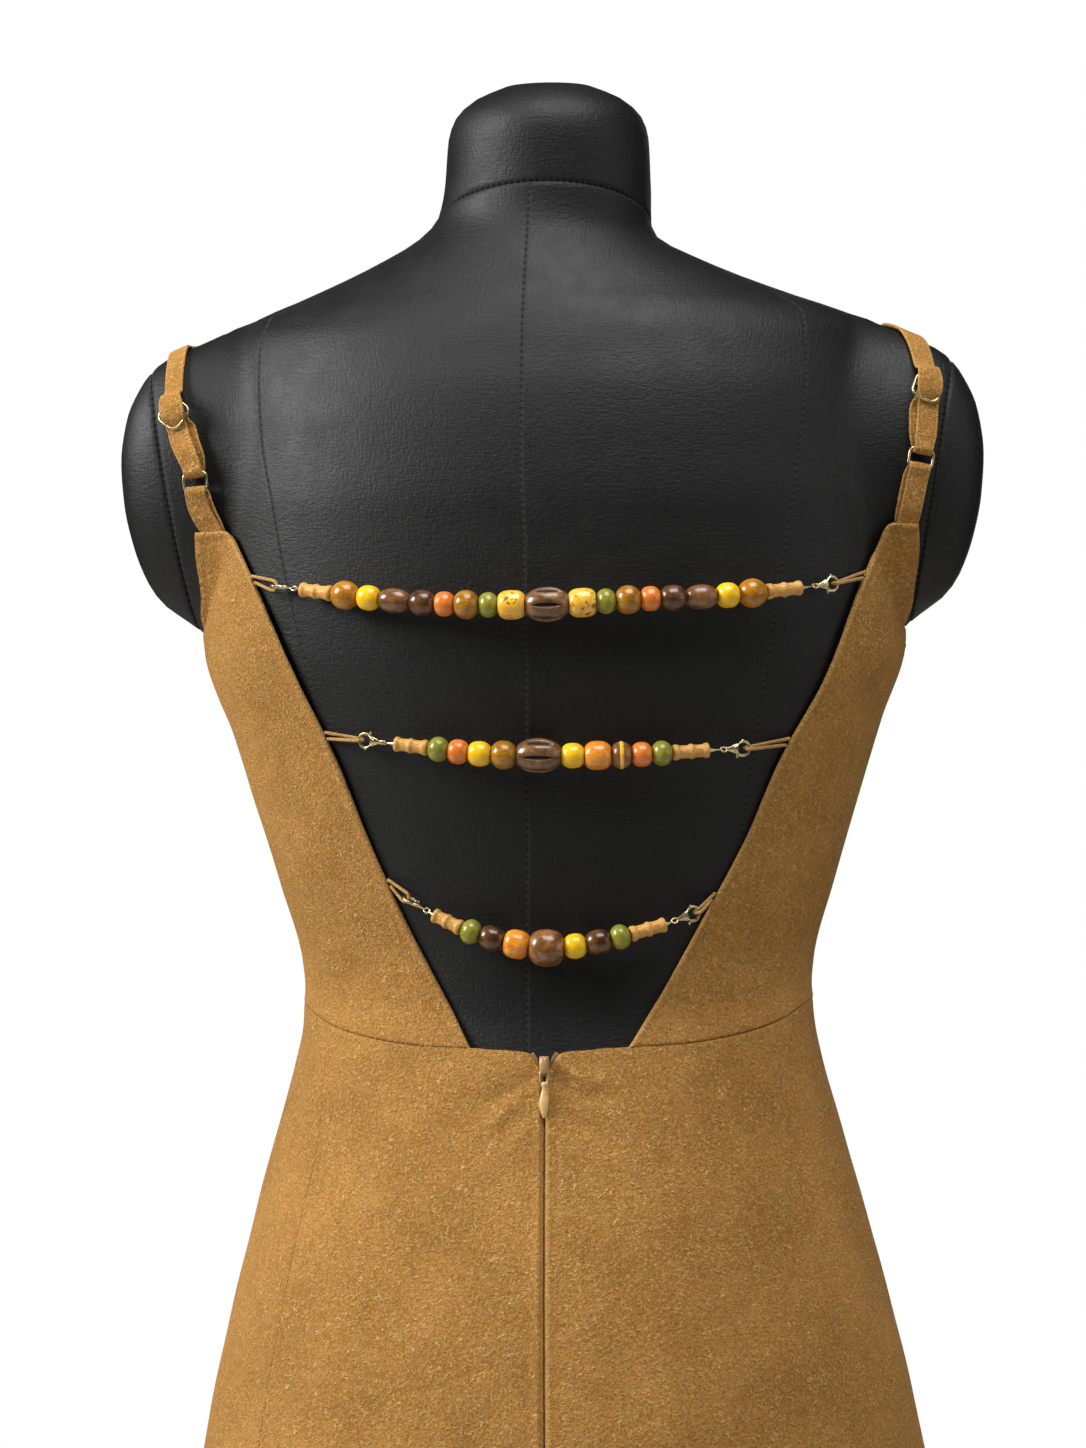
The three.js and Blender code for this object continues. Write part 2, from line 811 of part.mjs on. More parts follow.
function strapRows() {
  const rows = [];
  for (let d = STRAP_FRONT_END; d > 66; d -= 7.6) rows.push([d, STRAP_FRONT]);
  rows.push([61, 3.2], [55, 4.2], [50, STRAP_OVER]);
  const bump = (row, way) => [SLIDER_DEGREES + (way * row[0]) / DEGREE, row[1]];
  SLIDER_BUMP.forEach((row) => rows.push(bump(row, 1)));
  [...SLIDER_BUMP].reverse().slice(1).forEach((row) => rows.push(bump(row, -1)));
  rows.push([22, STRAP_OVER], [14, STRAP_OVER], [7, 5.2], [3, 5.4]);
  rows.push(...aroundBar(RING_TOP, -1));
  rows.push([4, 1.75], [9, STRAP_UNDER], [15, STRAP_UNDER], [21, STRAP_UNDER], [27, STRAP_UNDER]);
  return rows;
}

const strap = (side) => strip(strapStations(side, strapRows()), STRAP_WIDTH, STRAP_THICKNESS);

// The short tab that holds the ring to the top of the back panel.
function strapTab(side) {
  const rows = [
    [TAB_END[side], TAB_OVER],
    [-22, 4.4],
    [-17, 5.3],
    ...aroundBar(RING_BOTTOM, 1),
    [-17, TAB_UNDER],
    [-22, TAB_UNDER],
    [TAB_END[side], TAB_UNDER],
  ];
  return strip(strapStations(side, rows), STRAP_WIDTH, STRAP_THICKNESS);
}

// A frame with its x axis across the strap, y along it and z out of the form.
function strapFrame(side, degrees, distance) {
  const [station] = strapStations(side, [[degrees, distance]]);
  const { out } = shoulderPoint(side, degrees, distance);
  const along = out.clone().cross(station.across).normalize();
  const across = along.clone().cross(out).normalize();
  return new THREE.Matrix4().makeBasis(across, along, out).setPosition(station.point);
}

// A closed wire loop with rounded corners, flat in its own x and y.
function wireLoop(width, height, wire, corner = 2) {
  const path = new THREE.CurvePath();
  const x = width / 2;
  const y = height / 2;
  const corners = [
    [x, y],
    [-x, y],
    [-x, -y],
    [x, -y],
  ];
  const points = corners.flatMap(([cx, cy]) => {
    const fromX = Math.sign(cx) * (x - corner);
    const fromY = Math.sign(cy) * (y - corner);
    const first = Math.atan2(Math.sign(cy), Math.sign(cx)) - Math.PI / 4;
    return [0, 1, 2].map((k) => {
      const turn = first + (k * Math.PI) / 4;
      return vector(fromX + corner * Math.cos(turn), fromY + corner * Math.sin(turn), 0);
    });
  });
  path.closed = true;
  const wide = 6;
  const rings = points.map((p, i) => {
    const before = points[(i + points.length - 1) % points.length];
    const after = points[(i + 1) % points.length];
    const ahead = after.clone().sub(before).normalize();
    const side = vector(ahead.y, -ahead.x, 0);
    return Array.from({ length: wide }, (_, k) => {
      const turn = (2 * Math.PI * k) / wide;
      return p
        .clone()
        .addScaledVector(side, wire * Math.cos(turn))
        .add(vector(0, 0, wire * Math.sin(turn)));
    });
  });
  const faces = gridFaces(rings.length + 1, wide, 0, true, false).map(
    (i) => i % (rings.length * wide),
  );
  return bodyFrom(rings.flat(), faces);
}

const RING_WIRE = 0.7;
const strapRing = (side) =>
  wireLoop(13.4, RING_LENGTH, RING_WIRE).applyMatrix4(
    strapFrame(side, (RING_TOP + RING_BOTTOM) / 2, LOOP_HEIGHT),
  );

// The slider: a wire frame whose middle bar the strap's outer layer passes over.
function strapSlider(side) {
  const bar = new THREE.CylinderGeometry(RING_WIRE, RING_WIRE, 13.6, 8);
  bar.rotateZ(Math.PI / 2);
  const frame = fused(wireLoop(14, 13.8, RING_WIRE), bar);
  return frame.applyMatrix4(strapFrame(side, SLIDER_DEGREES, SLIDER_HEIGHT));
}

// ---- the bead strings ----
function stringPath({ route, standOff }) {
  const first = route[0][0];
  const last = route[route.length - 1][0];
  const points = route.map(([x, z]) => {
    const inward = Math.min(x - first, last - x);
    const rise = Math.min(1, inward / 38) ** 0.5;
    return behindForm(x, z, lerp(1.6, standOff, rise));
  });
  return new THREE.CatmullRomCurve3(points, false, "centripetal");
}

// The share of a path's length at which it passes an x.
function shareAtX(path, x) {
  let low = 0;
  let high = 1;
  for (let i = 0; i < 30; i++) {
    const middle = (low + high) / 2;
    if (path.getPointAt(middle).x < x) low = middle;
    else high = middle;
  }
  return (low + high) / 2;
}

function beadString(string) {
  const path = stringPath(string);
  const length = path.getLength();
  const gap = SEAM_GAP / length;
  const first = shareAtX(path, string.barrels[0][1]) + gap;
  const last = shareAtX(path, string.barrels[1][1]) - gap;
  const total = string.beads.reduce((sum, kind) => sum + BEAD[kind][0], 0);
  const stations = [];
  let start = first;
  for (const kind of string.beads) {
    const [width, diameter] = BEAD[kind];
    const share = ((last - first) * width) / total;
    const radius = diameter / 2;
    [
      [0.02, 0.5],
      [0.3, 1],
      [0.7, 1],
      [0.98, 0.5],
    ].forEach(([along, size]) => stations.push([start + share * along, radius * size]));
    start += share;
  }
  const shares = stations.map((station) => station[0]);
  return roundAlong(path, shares, (i) => stations[i][1], 8);
}

function barrel(string, end) {
  const path = stringPath(string);
  const [outer, inner] = string.barrels[end].map((x) => shareAtX(path, x));
  const rows = outer < inner ? BARREL_PROFILE : [...BARREL_PROFILE].reverse();
  const shares = rows.map(([along]) => lerp(outer, inner, along));
  return roundAlong(path, shares, (i) => rows[i][1], 8);
}

// A frame at a clasp: x towards the beads, z out of the clasp ring's flat.
function claspFrame(string, end) {
  const path = stringPath(string);
  const middle = path.getPointAt(shareAtX(path, string.clasps[end]));
  const target = path.getPointAt(shareAtX(path, string.barrels[end][0]));
  const ahead = target.clone().sub(middle);
  const reach = ahead.length();
  ahead.normalize();
  const angle = Math.atan2(middle.y, middle.x);
  const out = wayOut(formRadius, angle, middle.z);
  const upright = out.clone().cross(ahead).normalize();
  const flat = string.edgeOn[end] ? upright : upright.clone().cross(ahead).negate();
  const side = flat.clone().cross(ahead);
  const frame = new THREE.Matrix4().makeBasis(ahead, side, flat).setPosition(middle);
  return { frame, reach, middle };
}

// A fastened clasp with its ring, neck, link and the pin of the end barrel.
function clasp(string, end) {
  const { frame, reach } = claspFrame(string, end);
  const ring = new THREE.TorusGeometry(CLASP_RADIUS, CLASP_WIRE, 4, 9);
  const neckLength = Math.min(4.4, reach - 7.2);
  const neck = new THREE.SphereGeometry(1.35, 6, 4);
  neck.scale(neckLength / 2.2, 1, 0.9).translate(CLASP_RADIUS + neckLength / 2, 0, 0);
  const linkX = CLASP_RADIUS + neckLength + 1.2;
  const link = new THREE.TorusGeometry(1.2, 0.42, 4, 6).rotateX(Math.PI / 4);
  link.translate(linkX, 0, 0);
  const pinLength = reach - SEAM_GAP - linkX - 0.9;
  const pin = new THREE.CylinderGeometry(0.45, 0.45, pinLength, 5).rotateZ(Math.PI / 2);
  pin.translate(linkX + 0.9 + pinLength / 2, 0, 0);
  return fused(ring, neck, link, pin).applyMatrix4(frame);
}

// A loop of cord from the panel's edge, through the clasp's ring and back.
function cordLoop(string, end) {
  const { frame } = claspFrame(string, end);
  const z = string.route[end === 0 ? 0 : string.route.length - 1][1];
  const edge = curve(BACK_EDGE[end === 0 ? "left" : "right"], 1);
  const bend = CLASP_WIRE + SEAM_GAP + CORD_RADIUS + 0.45;
  const turns = [-75, -45, 0, 45, 75].map((degrees) => {
    const turn = radians(degrees);
    const local = vector(-CLASP_RADIUS + bend * Math.cos(turn), 0, bend * Math.sin(turn));
    return local.applyMatrix4(frame);
  });
  const up = frame.elements[10] >= 0 ? 1 : -1;
  const atEdge = (height) => {
    const x = (end === 0 ? -1 : 1) * (edge(height) - 0.95);
    return behindForm(x, height, formGap(height) + WALL / 2);
  };
  const points = [atEdge(z - up * 1.5), ...turns, atEdge(z + up * 1.5)];
  const path = new THREE.CatmullRomCurve3(points, false, "centripetal");
  return tube(path, CORD_RADIUS, 12, 5);
}

// ---- the zip ----
// A frame on the skirt at the centre back: x to the right, z out, y along the cloth.
function zipFrame(z, distance) {
  const angle = centreBack(z);
  const { point, out } = clothOn(skirtRadius, angle, z, distance);
  const across = vector(1, 0, 0);
  const along = out.clone().cross(across).normalize();
  const side = along.clone().cross(out).normalize();
  return new THREE.Matrix4().makeBasis(side, along, out).setPosition(point);
}

function zipTape() {
  const stations = evenly(12).map((share) => {
    const z = lerp(ZIP.bottom, ZIP.top, share);
    const angle = centreBack(z);
    const { point, out } = clothOn(skirtRadius, angle, z, -ZIP.tapeDepth);
    return { point, across: vector(0, 0, -1).cross(out).normalize() };
  });
  return strip(stations, ZIP.tapeWidth, ZIP.tapeThickness);
}

// The slider's plate and the bridge that the pull's link goes under.
function zipSlider() {
  const plate = new THREE.BoxGeometry(SLIDER.width, SLIDER.height, SLIDER.depth);
  const half = SLIDER.height / 2 - 1;
  const top = SLIDER.depth / 2;
  const bridge = new THREE.CatmullRomCurve3([
    vector(0, half, top - 0.4),
    vector(0, half - 0.3, top + 1.4),
    vector(0, half - 2, top + 2),
    vector(0, -half + 2, top + 2),
    vector(0, -half + 0.3, top + 1.4),
    vector(0, -half, top - 0.4),
  ]);
  const body = fused(plate, tube(bridge, 0.5, 12, 6));
  return body.applyMatrix4(zipFrame(SLIDER.z, SLIDER.depth / 2 + SEAM_GAP));
}

// The pull: a wire link under the bridge and a teardrop tab that hangs from it.
function zipPull() {
  const link = wireLoop(3.2, PULL.linkLength, 0.38, 1.2);
  link.translate(0, -PULL.linkLength / 2, 0);
  const drop = new THREE.Shape();
  const half = PULL.width / 2;
  const end = -PULL.length;
  drop.moveTo(0, -0.2);
  drop.bezierCurveTo(1.4, -0.6, 1, -3, 1.3, -5);
  drop.bezierCurveTo(1.5, -7.5, half, -8.5, half, end + 4);
  drop.bezierCurveTo(half, end + 1.4, 1.3, end, 0, end);
  drop.bezierCurveTo(-1.3, end, -half, end + 1.4, -half, end + 4);
  drop.bezierCurveTo(-half, -8.5, -1.5, -7.5, -1.3, -5);
  drop.bezierCurveTo(-1, -3, -1.4, -0.6, 0, -0.2);
  const solid = { depth: PULL.thickness, bevelEnabled: false, curveSegments: 5 };
  const tab = new THREE.ExtrudeGeometry(drop, solid);
  tab.translate(0, -PULL.linkLength + 1.2, -PULL.thickness / 2);
  const body = fused(link, tab).rotateX(radians(PULL.lean));
  const height = SLIDER.depth + SEAM_GAP + 0.75;
  return body.applyMatrix4(zipFrame(SLIDER.z - 2.4, height));
}

// ---- the whole ----
const dressOnForm = new THREE.Group();

function add(name, geometry, material) {
  const mesh = new THREE.Mesh(geometry, material);
  mesh.name = name;
  dressOnForm.add(mesh);
}

for (const [name, geometry] of Object.entries(formPieces())) add(name, geometry, COVER);
add("stand_pole", standPole(), STEEL);
add("stand_base", standBase(), STEEL);
add("bodice_front", frontBodice(), SUEDE);
add("bodice_back_left", backBodice("left"), SUEDE);
add("bodice_back_right", backBodice("right"), SUEDE);
const leftSeam = (z) => radians(skirtSeam(z)) - Math.PI;
const rightSeam = (z) => -radians(skirtSeam(z));
add("skirt_front", skirtPanel(26, rightSeam, (z) => leftSeam(z) + 2 * Math.PI), SUEDE);
add("skirt_back_left", skirtPanel(10, leftSeam, centreBack), SUEDE);
add("skirt_back_right", skirtPanel(10, centreBack, rightSeam), SUEDE);
for (const side of ["left", "right"]) {
  add(`strap_${side}`, strap(side), SUEDE);
  add(`strap_tab_${side}`, strapTab(side), SUEDE);
  add(`strap_ring_${side}`, strapRing(side), BRASS);
  add(`strap_slider_${side}`, strapSlider(side), BRASS);
}
for (const [place, string] of Object.entries(STRINGS)) {
  add(`bead_string_${place}`, beadString(string), BEAD_WOOD);
  ["left", "right"].forEach((side, end) => {
    add(`end_barrel_${place}_${side}`, barrel(string, end), PALE_WOOD);
    add(`clasp_${place}_${side}`, clasp(string, end), BRASS);
    add(`cord_loop_${place}_${side}`, cordLoop(string, end), CORD);
  });
}
add("zip_tape", zipTape(), TAPE);
add("zip_slider", zipSlider(), BRASS);
add("zip_pull", zipPull(), PULL_ENAMEL);

export default dressOnForm;
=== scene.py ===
"""A backless suede dress on a limbless dress form, dressed on its fixed frame.

Sizes are in millimetres, as a maker gives them, and become metres as a mesh is made.
+Z is up, the open back faces -Y, and the pieces named left are at -X.
"""

import sys
import logging
import math
from dataclasses import dataclass, field
from enum import Enum
from typing import Callable, Sequence

import bmesh
import bpy
import numpy as np
from mathutils import Matrix, Vector


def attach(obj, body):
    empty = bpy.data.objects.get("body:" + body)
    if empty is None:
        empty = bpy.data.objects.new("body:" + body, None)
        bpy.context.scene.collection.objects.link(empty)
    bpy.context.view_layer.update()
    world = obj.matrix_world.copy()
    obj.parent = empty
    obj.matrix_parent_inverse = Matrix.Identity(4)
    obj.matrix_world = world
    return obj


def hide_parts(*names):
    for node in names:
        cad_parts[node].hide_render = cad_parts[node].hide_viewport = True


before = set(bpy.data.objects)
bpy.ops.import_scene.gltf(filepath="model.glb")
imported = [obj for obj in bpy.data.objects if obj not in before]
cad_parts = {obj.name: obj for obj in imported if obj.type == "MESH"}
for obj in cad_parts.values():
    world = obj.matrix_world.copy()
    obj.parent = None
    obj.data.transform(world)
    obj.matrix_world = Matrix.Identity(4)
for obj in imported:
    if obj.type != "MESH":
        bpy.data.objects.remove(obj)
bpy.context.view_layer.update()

log = logging.getLogger("dress")
MM = 0.001
BODY = "dress_on_form"
Array = np.ndarray
Table = Sequence[Sequence[float]]
Piece = bpy.types.Object
Tree = bpy.types.NodeTree
Socket = bpy.types.NodeSocket
Rows = list[tuple[float, float, float]]
BACK = -math.pi / 2
FRONT = math.pi / 2


class Side(Enum):
    """Which side of the dress a piece is on, with the sign of its x."""

    LEFT = -1
    RIGHT = 1

    @property
    def word(self) -> str:
        """The side as it stands in the names of pieces."""
        return self.name.lower()


# ---- shape tools


class Curve:
    """A column of a table as a smooth curve of its first column, with no overshoot."""

    def __init__(self, table: Table, column: int = 1) -> None:
        """Works out the slopes at the table's rows.

        Args:
            table: rows of numbers in rising order of the first.
            column: the column that the curve goes through.
        """
        rows = np.array(table, float)
        self.x, self.y = rows[:, 0], rows[:, column]
        slopes = np.diff(self.y) / np.diff(self.x)
        before = np.concatenate([slopes[:1], slopes])
        after = np.concatenate([slopes, slopes[-1:]])
        same = before * after > 0
        total = np.where(same, before + after, 1.0)
        self.tangent = np.where(same, 2 * before * after / total, 0.0)

    def __call__(self, at: Array | float) -> Array:
        """The curve's value at one place or many."""
        x = np.clip(np.asarray(at, float), self.x[0], self.x[-1])
        i = np.clip(np.searchsorted(self.x, x, side="right") - 1, 0, len(self.x) - 2)
        step = self.x[i + 1] - self.x[i]
        t = (x - self.x[i]) / step
        ease = t * t * (3 - 2 * t)
        bend = (1 - t) * self.tangent[i] - t * self.tangent[i + 1]
        return self.y[i] + (self.y[i + 1] - self.y[i]) * ease + step * t * (1 - t) * bend


def unit(vectors: Array) -> Array:
    """Vectors at length one."""
    return vectors / np.maximum(np.linalg.norm(vectors, axis=-1, keepdims=True), 1e-9)


def smooth(x: Array | float, low: float, high: float) -> Array:
    """An eased step from 0 at low to 1 at high."""
    t = np.clip((np.asarray(x, float) - low) / (high - low), 0, 1)
    return t * t * (3 - 2 * t)


def oval(angle: Array, half: Array, depth: Array, power: Array | float) -> Array:
    """Distance from the middle to a rounded outline.

    Args:
        angle: direction, in radians.
        half: half width along x.
        depth: half depth along y.
        power: 2 for an ellipse, more for a squarer outline.

    Returns:
        The distance at each angle.
    """
    across = np.abs(np.cos(angle) / half) ** power
    along = np.abs(np.sin(angle) / depth) ** power
    return (across + along) ** (-1 / power)


class Surface:
    """An outline at each height, given as a distance from the upright axis."""

    def radius(self, angle: Array, z: Array) -> Array:
        """Distance of the surface from the axis."""
        raise NotImplementedError

    def point(self, angle: Array, z: Array) -> Array:
        """Points of the surface."""
        radius = self.radius(angle, z)
        return np.stack([radius * np.cos(angle), radius * np.sin(angle), z + 0 * radius], -1)

    def out(self, angle: Array, z: Array) -> Array:
        """The way out of the surface at its points."""
        turn, rise = 0.01, 1.5
        across = self.point(angle + turn, z) - self.point(angle - turn, z)
        return unit(np.cross(across, self.point(angle, z + rise) - self.point(angle, z - rise)))

    def at(self, angle: Array, z: Array, distance: Array | float) -> Array:
        """Points at a distance out from the surface."""
        off = np.asarray(distance, float)[..., None]
        return self.point(angle, z) + self.out(angle, z) * off

    def angle_at(self, x: Array, z: Array, front: bool = False) -> Array:
        """The angle at which the surface passes a given x.

        Args:
            x: place across, whose sign picks the side.
            z: height.
            front: True for the half that faces +Y.

        Returns:
            Angles in radians.
        """
        x, z = np.broadcast_arrays(np.asarray(x, float), np.asarray(z, float))
        near = np.full(x.shape, FRONT if front else BACK)
        far = np.where(x < 0, math.pi if front else -math.pi, 0.0)
        for _ in range(40):
            middle = (near + far) / 2
            passed = np.abs(self.radius(middle, z) * np.cos(middle)) > np.abs(x)
            far, near = np.where(passed, middle, far), np.where(passed, near, middle)
        return (near + far) / 2


class FormSurface(Surface):
    """The dress form: a trunk with an arm stump growing out of each side."""

    LEVELS = (  # z, half width, back depth, front depth, roundness of the outline
        (750, 162, 114, 91, 2.25), (800, 165, 121, 94, 2.25), (840, 164.5, 123, 97, 2.2),
        (885, 158.5, 118, 98, 2.2), (935, 147, 107, 97, 2.15), (974, 136.5, 96, 95, 2.1),
        (1013, 126, 86, 93, 2.1), (1046, 121.4, 80.5, 92, 2.05), (1062, 122.6, 80.5, 92.5, 2.05),
        (1101, 133, 84, 97, 2.1), (1140, 144.3, 90, 106, 2.15), (1180, 156.3, 96, 116, 2.2),
        (1214, 167, 100, 121, 2.2), (1245, 168.5, 102, 116, 2.2), (1280, 167, 102, 104, 2.2),
        (1310, 165, 99, 93, 2.15), (1336, 163, 94, 84, 2.1), (1356, 160, 87, 76, 2.0),
        (1366, 156, 83, 71, 1.95), (1376, 146, 78, 66, 1.85), (1385, 124, 72, 62, 1.85),
        (1395, 99.5, 66, 58, 1.9), (1405, 78, 60, 55.5, 1.95), (1415, 60.5, 54.5, 54, 2.0),
        (1425, 53.2, 50.5, 53, 2.0), (1440, 50.8, 48.5, 52, 2.0), (1464, 49, 47.5, 50.5, 2.0),
        (1474, 45.6, 44.5, 47, 2.0), (1483, 35.8, 35, 37, 2.0), (1489, 22, 21.5, 23, 2.0),
    )
    ARM_REACH = (
        (1224, 168), (1229, 177.6), (1238, 190.6), (1248, 197.7), (1268, 205), (1287, 208.7),
        (1307, 210), (1327, 207.5), (1346, 199.4), (1356, 190.6), (1366, 169.5), (1374, 150),
    )
    ARM_MIDDLE_Z = 1298
    ARM_HALF_HEIGHT = 76
    ARM_HALF_DEPTH = 52
    LEAN = Curve(  # z, share by which -X stands out further than +X
        ((1376, 0), (1390, 0.028), (1403, 0.06), (1415, 0.095), (1426, 0.045), (1440, 0.015), (1470, 0))
    )

    def __init__(self, ease: float | Array) -> None:
        """Reads the tables.

        Args:
            ease: how widely the corner between trunk and arm is bridged.
        """
        self.ease = ease
        self.half, self.back, self.front, self.power = (Curve(self.LEVELS, i) for i in (1, 2, 3, 4))
        self.reach = Curve(self.ARM_REACH)

    def radius(self, angle: Array, z: Array) -> Array:
        """Distance of the form from the axis."""
        depth = np.where(np.sin(angle) < 0, self.back(z), self.front(z))
        lean = self.LEAN(z)
        trunk = oval(angle, self.half(z), depth, self.power(z)) * (1 - lean * (np.cos(angle) + 0.33))
        part = 1 - ((z - self.ARM_MIDDLE_Z) / self.ARM_HALF_HEIGHT) ** 2
        thick = self.ARM_HALF_DEPTH * np.sqrt(np.maximum(part, 1e-6))
        arm = oval(angle, self.reach(z), thick, 5)
        near = np.maximum(self.ease - np.abs(trunk - arm), 0) / self.ease
        both = np.maximum(trunk, arm) + near * near * self.ease / 4
        return np.where(part > 0, both, trunk)


class SkirtSurface(Surface):
    """The skirt's outer face, from the waist seam to the hem."""

    HEM_Z = 540
    LEVELS = (  # z, half width, back depth, front depth
        (540, 227, 171, 157), (620, 213, 160.5, 145), (700, 199, 150, 133), (780, 184.5, 139, 121),
        (823, 176.4, 133, 116), (856, 170, 128.5, 111), (895, 161.2, 121.5, 107),
        (935, 150.7, 112.5, 103), (974, 139.9, 101, 99.5), (1013, 129.1, 90.2, 96.6),
        (1033, 125, 85.6, 95), (1050, 124, 83.2, 94.6),
    )
    WAVE_START = 900
    WAVE_DEPTH = 7
    WAVE_COUNT = 9

    def __init__(self) -> None:
        """Reads the table."""
        self.half, self.back, self.front = (Curve(self.LEVELS, i) for i in (1, 2, 3))

    def radius(self, angle: Array, z: Array) -> Array:
        """Distance of the skirt from the axis."""
        depth = np.where(np.sin(angle) < 0, self.back(z), self.front(z))
        plain = oval(angle, self.half(z), depth, 2.12)
        fall = (self.WAVE_START - np.asarray(z, float)) / (self.WAVE_START - self.HEM_Z)
        wave = np.cos(self.WAVE_COUNT * angle + 0.8 * np.sin(2 * angle + 0.5)) - 0.2
        grown = np.maximum(fall, 0) ** 1.4
        return plain + self.WAVE_DEPTH * grown * wave * np.abs(np.sin(angle)) ** 0.5


FORM = FormSurface(18)
CLOTH = FormSurface(24)
SKIRT = SkirtSurface()
CENTRE_BACK_X = -2.5
WALL = 1.6
SEAM_GAP = 0.3
SEWN_GAP = 0.03  # panels sewn together look closed
FORM_GAP = Curve(((1080, 0.8), (1180, 1.8), (1215, 2.75)))
WAIST_SEAM = Curve(
    (  # distance from the middle, z
        (0, 1013.2), (1.6, 1014.4), (3.2, 1017), (5.2, 1020.3), (6.8, 1022.2), (8.6, 1023.1), (14, 1023.8),
        (36, 1025.2), (61, 1026), (80, 1028),
        (100, 1031.8), (112, 1035.8), (120, 1040), (124.5, 1042.4),
    )
)


def seam_height(angle: Array) -> Array:
    """Height of the waist seam at an angle."""
    x = SKIRT.radius(angle, 1028.0) * np.cos(angle)
    middle = CENTRE_BACK_X * np.maximum(0, 1 - np.abs(x) / 40)
    off = np.abs(x - middle)
    # the free edge under the open back is a little puckered
    pucker = smooth(off, 6, 12) * (1 - smooth(off, 30, 38)) * (np.sin(x / 3.4) + 0.6 * np.sin(x / 1.9 + 1))
    return np.where(np.sin(angle) >= 0, WAIST_SEAM(999), WAIST_SEAM(off) + 0.14 * pucker)


def behind_form(x: Array, z: Array, distance: Array | float) -> Array:
    """Points behind the form at a given x and z, moved out by a distance."""
    return CLOTH.at(CLOTH.angle_at(x, z), np.asarray(z, float), distance)


class Path:
    """A smooth line through points, followed by its length."""

    STEPS = 40

    def __init__(self, points: Array) -> None:
        """Fits centripetal spans to the points.

        Args:
            points: one row for each point, of two or three numbers.
        """
        points = np.array(points, float)
        first, last = 2 * points[0] - points[1], 2 * points[-1] - points[-2]
        p = np.vstack([first, points, last])
        gap = np.linalg.norm(np.diff(p, axis=0), axis=1) ** 0.5
        gap = np.maximum(gap, 1e-4)
        line = []
        for i in range(1, len(p) - 2):
            g0, g1, g2 = gap[i - 1], gap[i], gap[i + 1]
            step = p[i + 1] - p[i]
            t1 = ((p[i] - p[i - 1]) / g0 - (p[i + 1] - p[i - 1]) / (g0 + g1)) * g1 + step
            t2 = ((p[i + 2] - p[i + 1]) / g2 - (p[i + 2] - p[i]) / (g1 + g2)) * g1 + step
            t = (np.arange(self.STEPS) / self.STEPS)[:, None]
            bend = (2 * t**3 - 3 * t**2 + 1) * p[i] + (3 * t**2 - 2 * t**3) * p[i + 1]
            line.append(bend + (t**3 - 2 * t**2 + t) * t1 + (t**3 - t**2) * t2)
        self.line = np.vstack([*line, p[-2:-1]])
        steps = np.linalg.norm(np.diff(self.line, axis=0), axis=1)
        self.run = np.concatenate([[0], np.cumsum(steps)])
        self.length = self.run[-1]

    def at(self, share: Array | float) -> Array:
        """Points at shares of the length."""
        want = np.asarray(share, float) * self.length
        return np.stack([np.interp(want, self.run, c) for c in self.line.T], -1)

    def ahead(self, share: Array | float) -> Array:
        """The way ahead at shares of the length."""
        share, near = np.asarray(share, float), 0.4 / self.length
        return unit(self.at(np.minimum(share + near, 1)) - self.at(np.maximum(share - near, 0)))

    def share_at_x(self, x: float) -> float:
        """The share of the length at which the line passes an x."""
        return float(np.interp(x, self.line[:, 0], self.run) / self.length)


def clustered(count: int, gather: float = 0.7) -> Array:
    """Numbers from 0 to 1 that lie closer at both ends."""
    t = np.linspace(0, 1, count + 1)
    return (1 - gather) * t + gather * (1 - np.cos(math.pi * t)) / 2


def ripple(points: Array, size: float, seed: int) -> Array:
    """A soft uneven height from -1 to 1 over points.

    Args:
        points: places in space.
        size: length of one wave.
        seed: picks the pattern.

    Returns:
        A height for each point.
    """
    rng = np.random.default_rng(seed)
    total = np.zeros(points.shape[:-1])
    for _ in range(6):
        way = unit(rng.normal(size=3)) * 2 * math.pi / (size * rng.uniform(0.7, 1.6))
        total += np.sin(points @ way + rng.uniform(0, 6.28))
    return total / 3.2


# ---- mesh tools


def grid_quads(rows: int, columns: int, closed: bool = False) -> Array:
    """Four-cornered faces over a grid of points.

    Args:
        rows: rows of points.
        columns: points in a row.
        closed: True if the last column joins the first.

    Returns:
        One row of four indices for each face.
    """
    start = np.arange(rows - 1)[:, None] * columns
    here = np.arange(columns if closed else columns - 1)[None, :]
    a, b = start + here, start + (here + 1) % columns
    return np.stack([a, b, b + columns, a + columns], -1).reshape(-1, 4)


def build_mesh(name: str, points: Array, faces: list[list[int]], **marks: Array) -> Piece:
    """Makes a smooth mesh object from points in millimetres, turned outwards.

    Args:
        name: the piece's name.
        points: one row for each point.
        faces: lists of indices.
        marks: numbers or vectors for each point, kept as attributes.

    Returns:
        The new object, at the origin.
    """
    points = np.asarray(points, float).reshape(-1, 3)
    enclosed = 0.0
    for corners in (np.array([f for f in faces if len(f) == n]) for n in (3, 4)):
        if len(corners):
            centre = points[corners].mean(1)
            for i in range(corners.shape[1]):
                a, b = points[corners[:, i]], points[corners[:, (i + 1) % corners.shape[1]]]
                enclosed += float((centre * np.cross(a, b)).sum())
    if enclosed < 0:
        faces = [f[::-1] for f in faces]
    mesh = bpy.data.meshes.new(name)
    mesh.from_pydata((points * MM).tolist(), [], faces)
    for mark, values in marks.items():
        write_mark(mesh, mark, values)
    mesh.shade_smooth()
    made = bpy.data.objects.new(name, mesh)
    bpy.context.scene.collection.objects.link(made)
    return made


def write_mark(mesh: bpy.types.Mesh, mark: str, values: Array) -> None:
    """Keeps a number or a vector for each point of a mesh."""
    values = np.asarray(values, np.float32)
    vector = values.ndim > 1
    layer = mesh.attributes.new(mark, "FLOAT_VECTOR" if vector else "FLOAT", "POINT")
    layer.data.foreach_set("vector" if vector else "value", values.ravel())


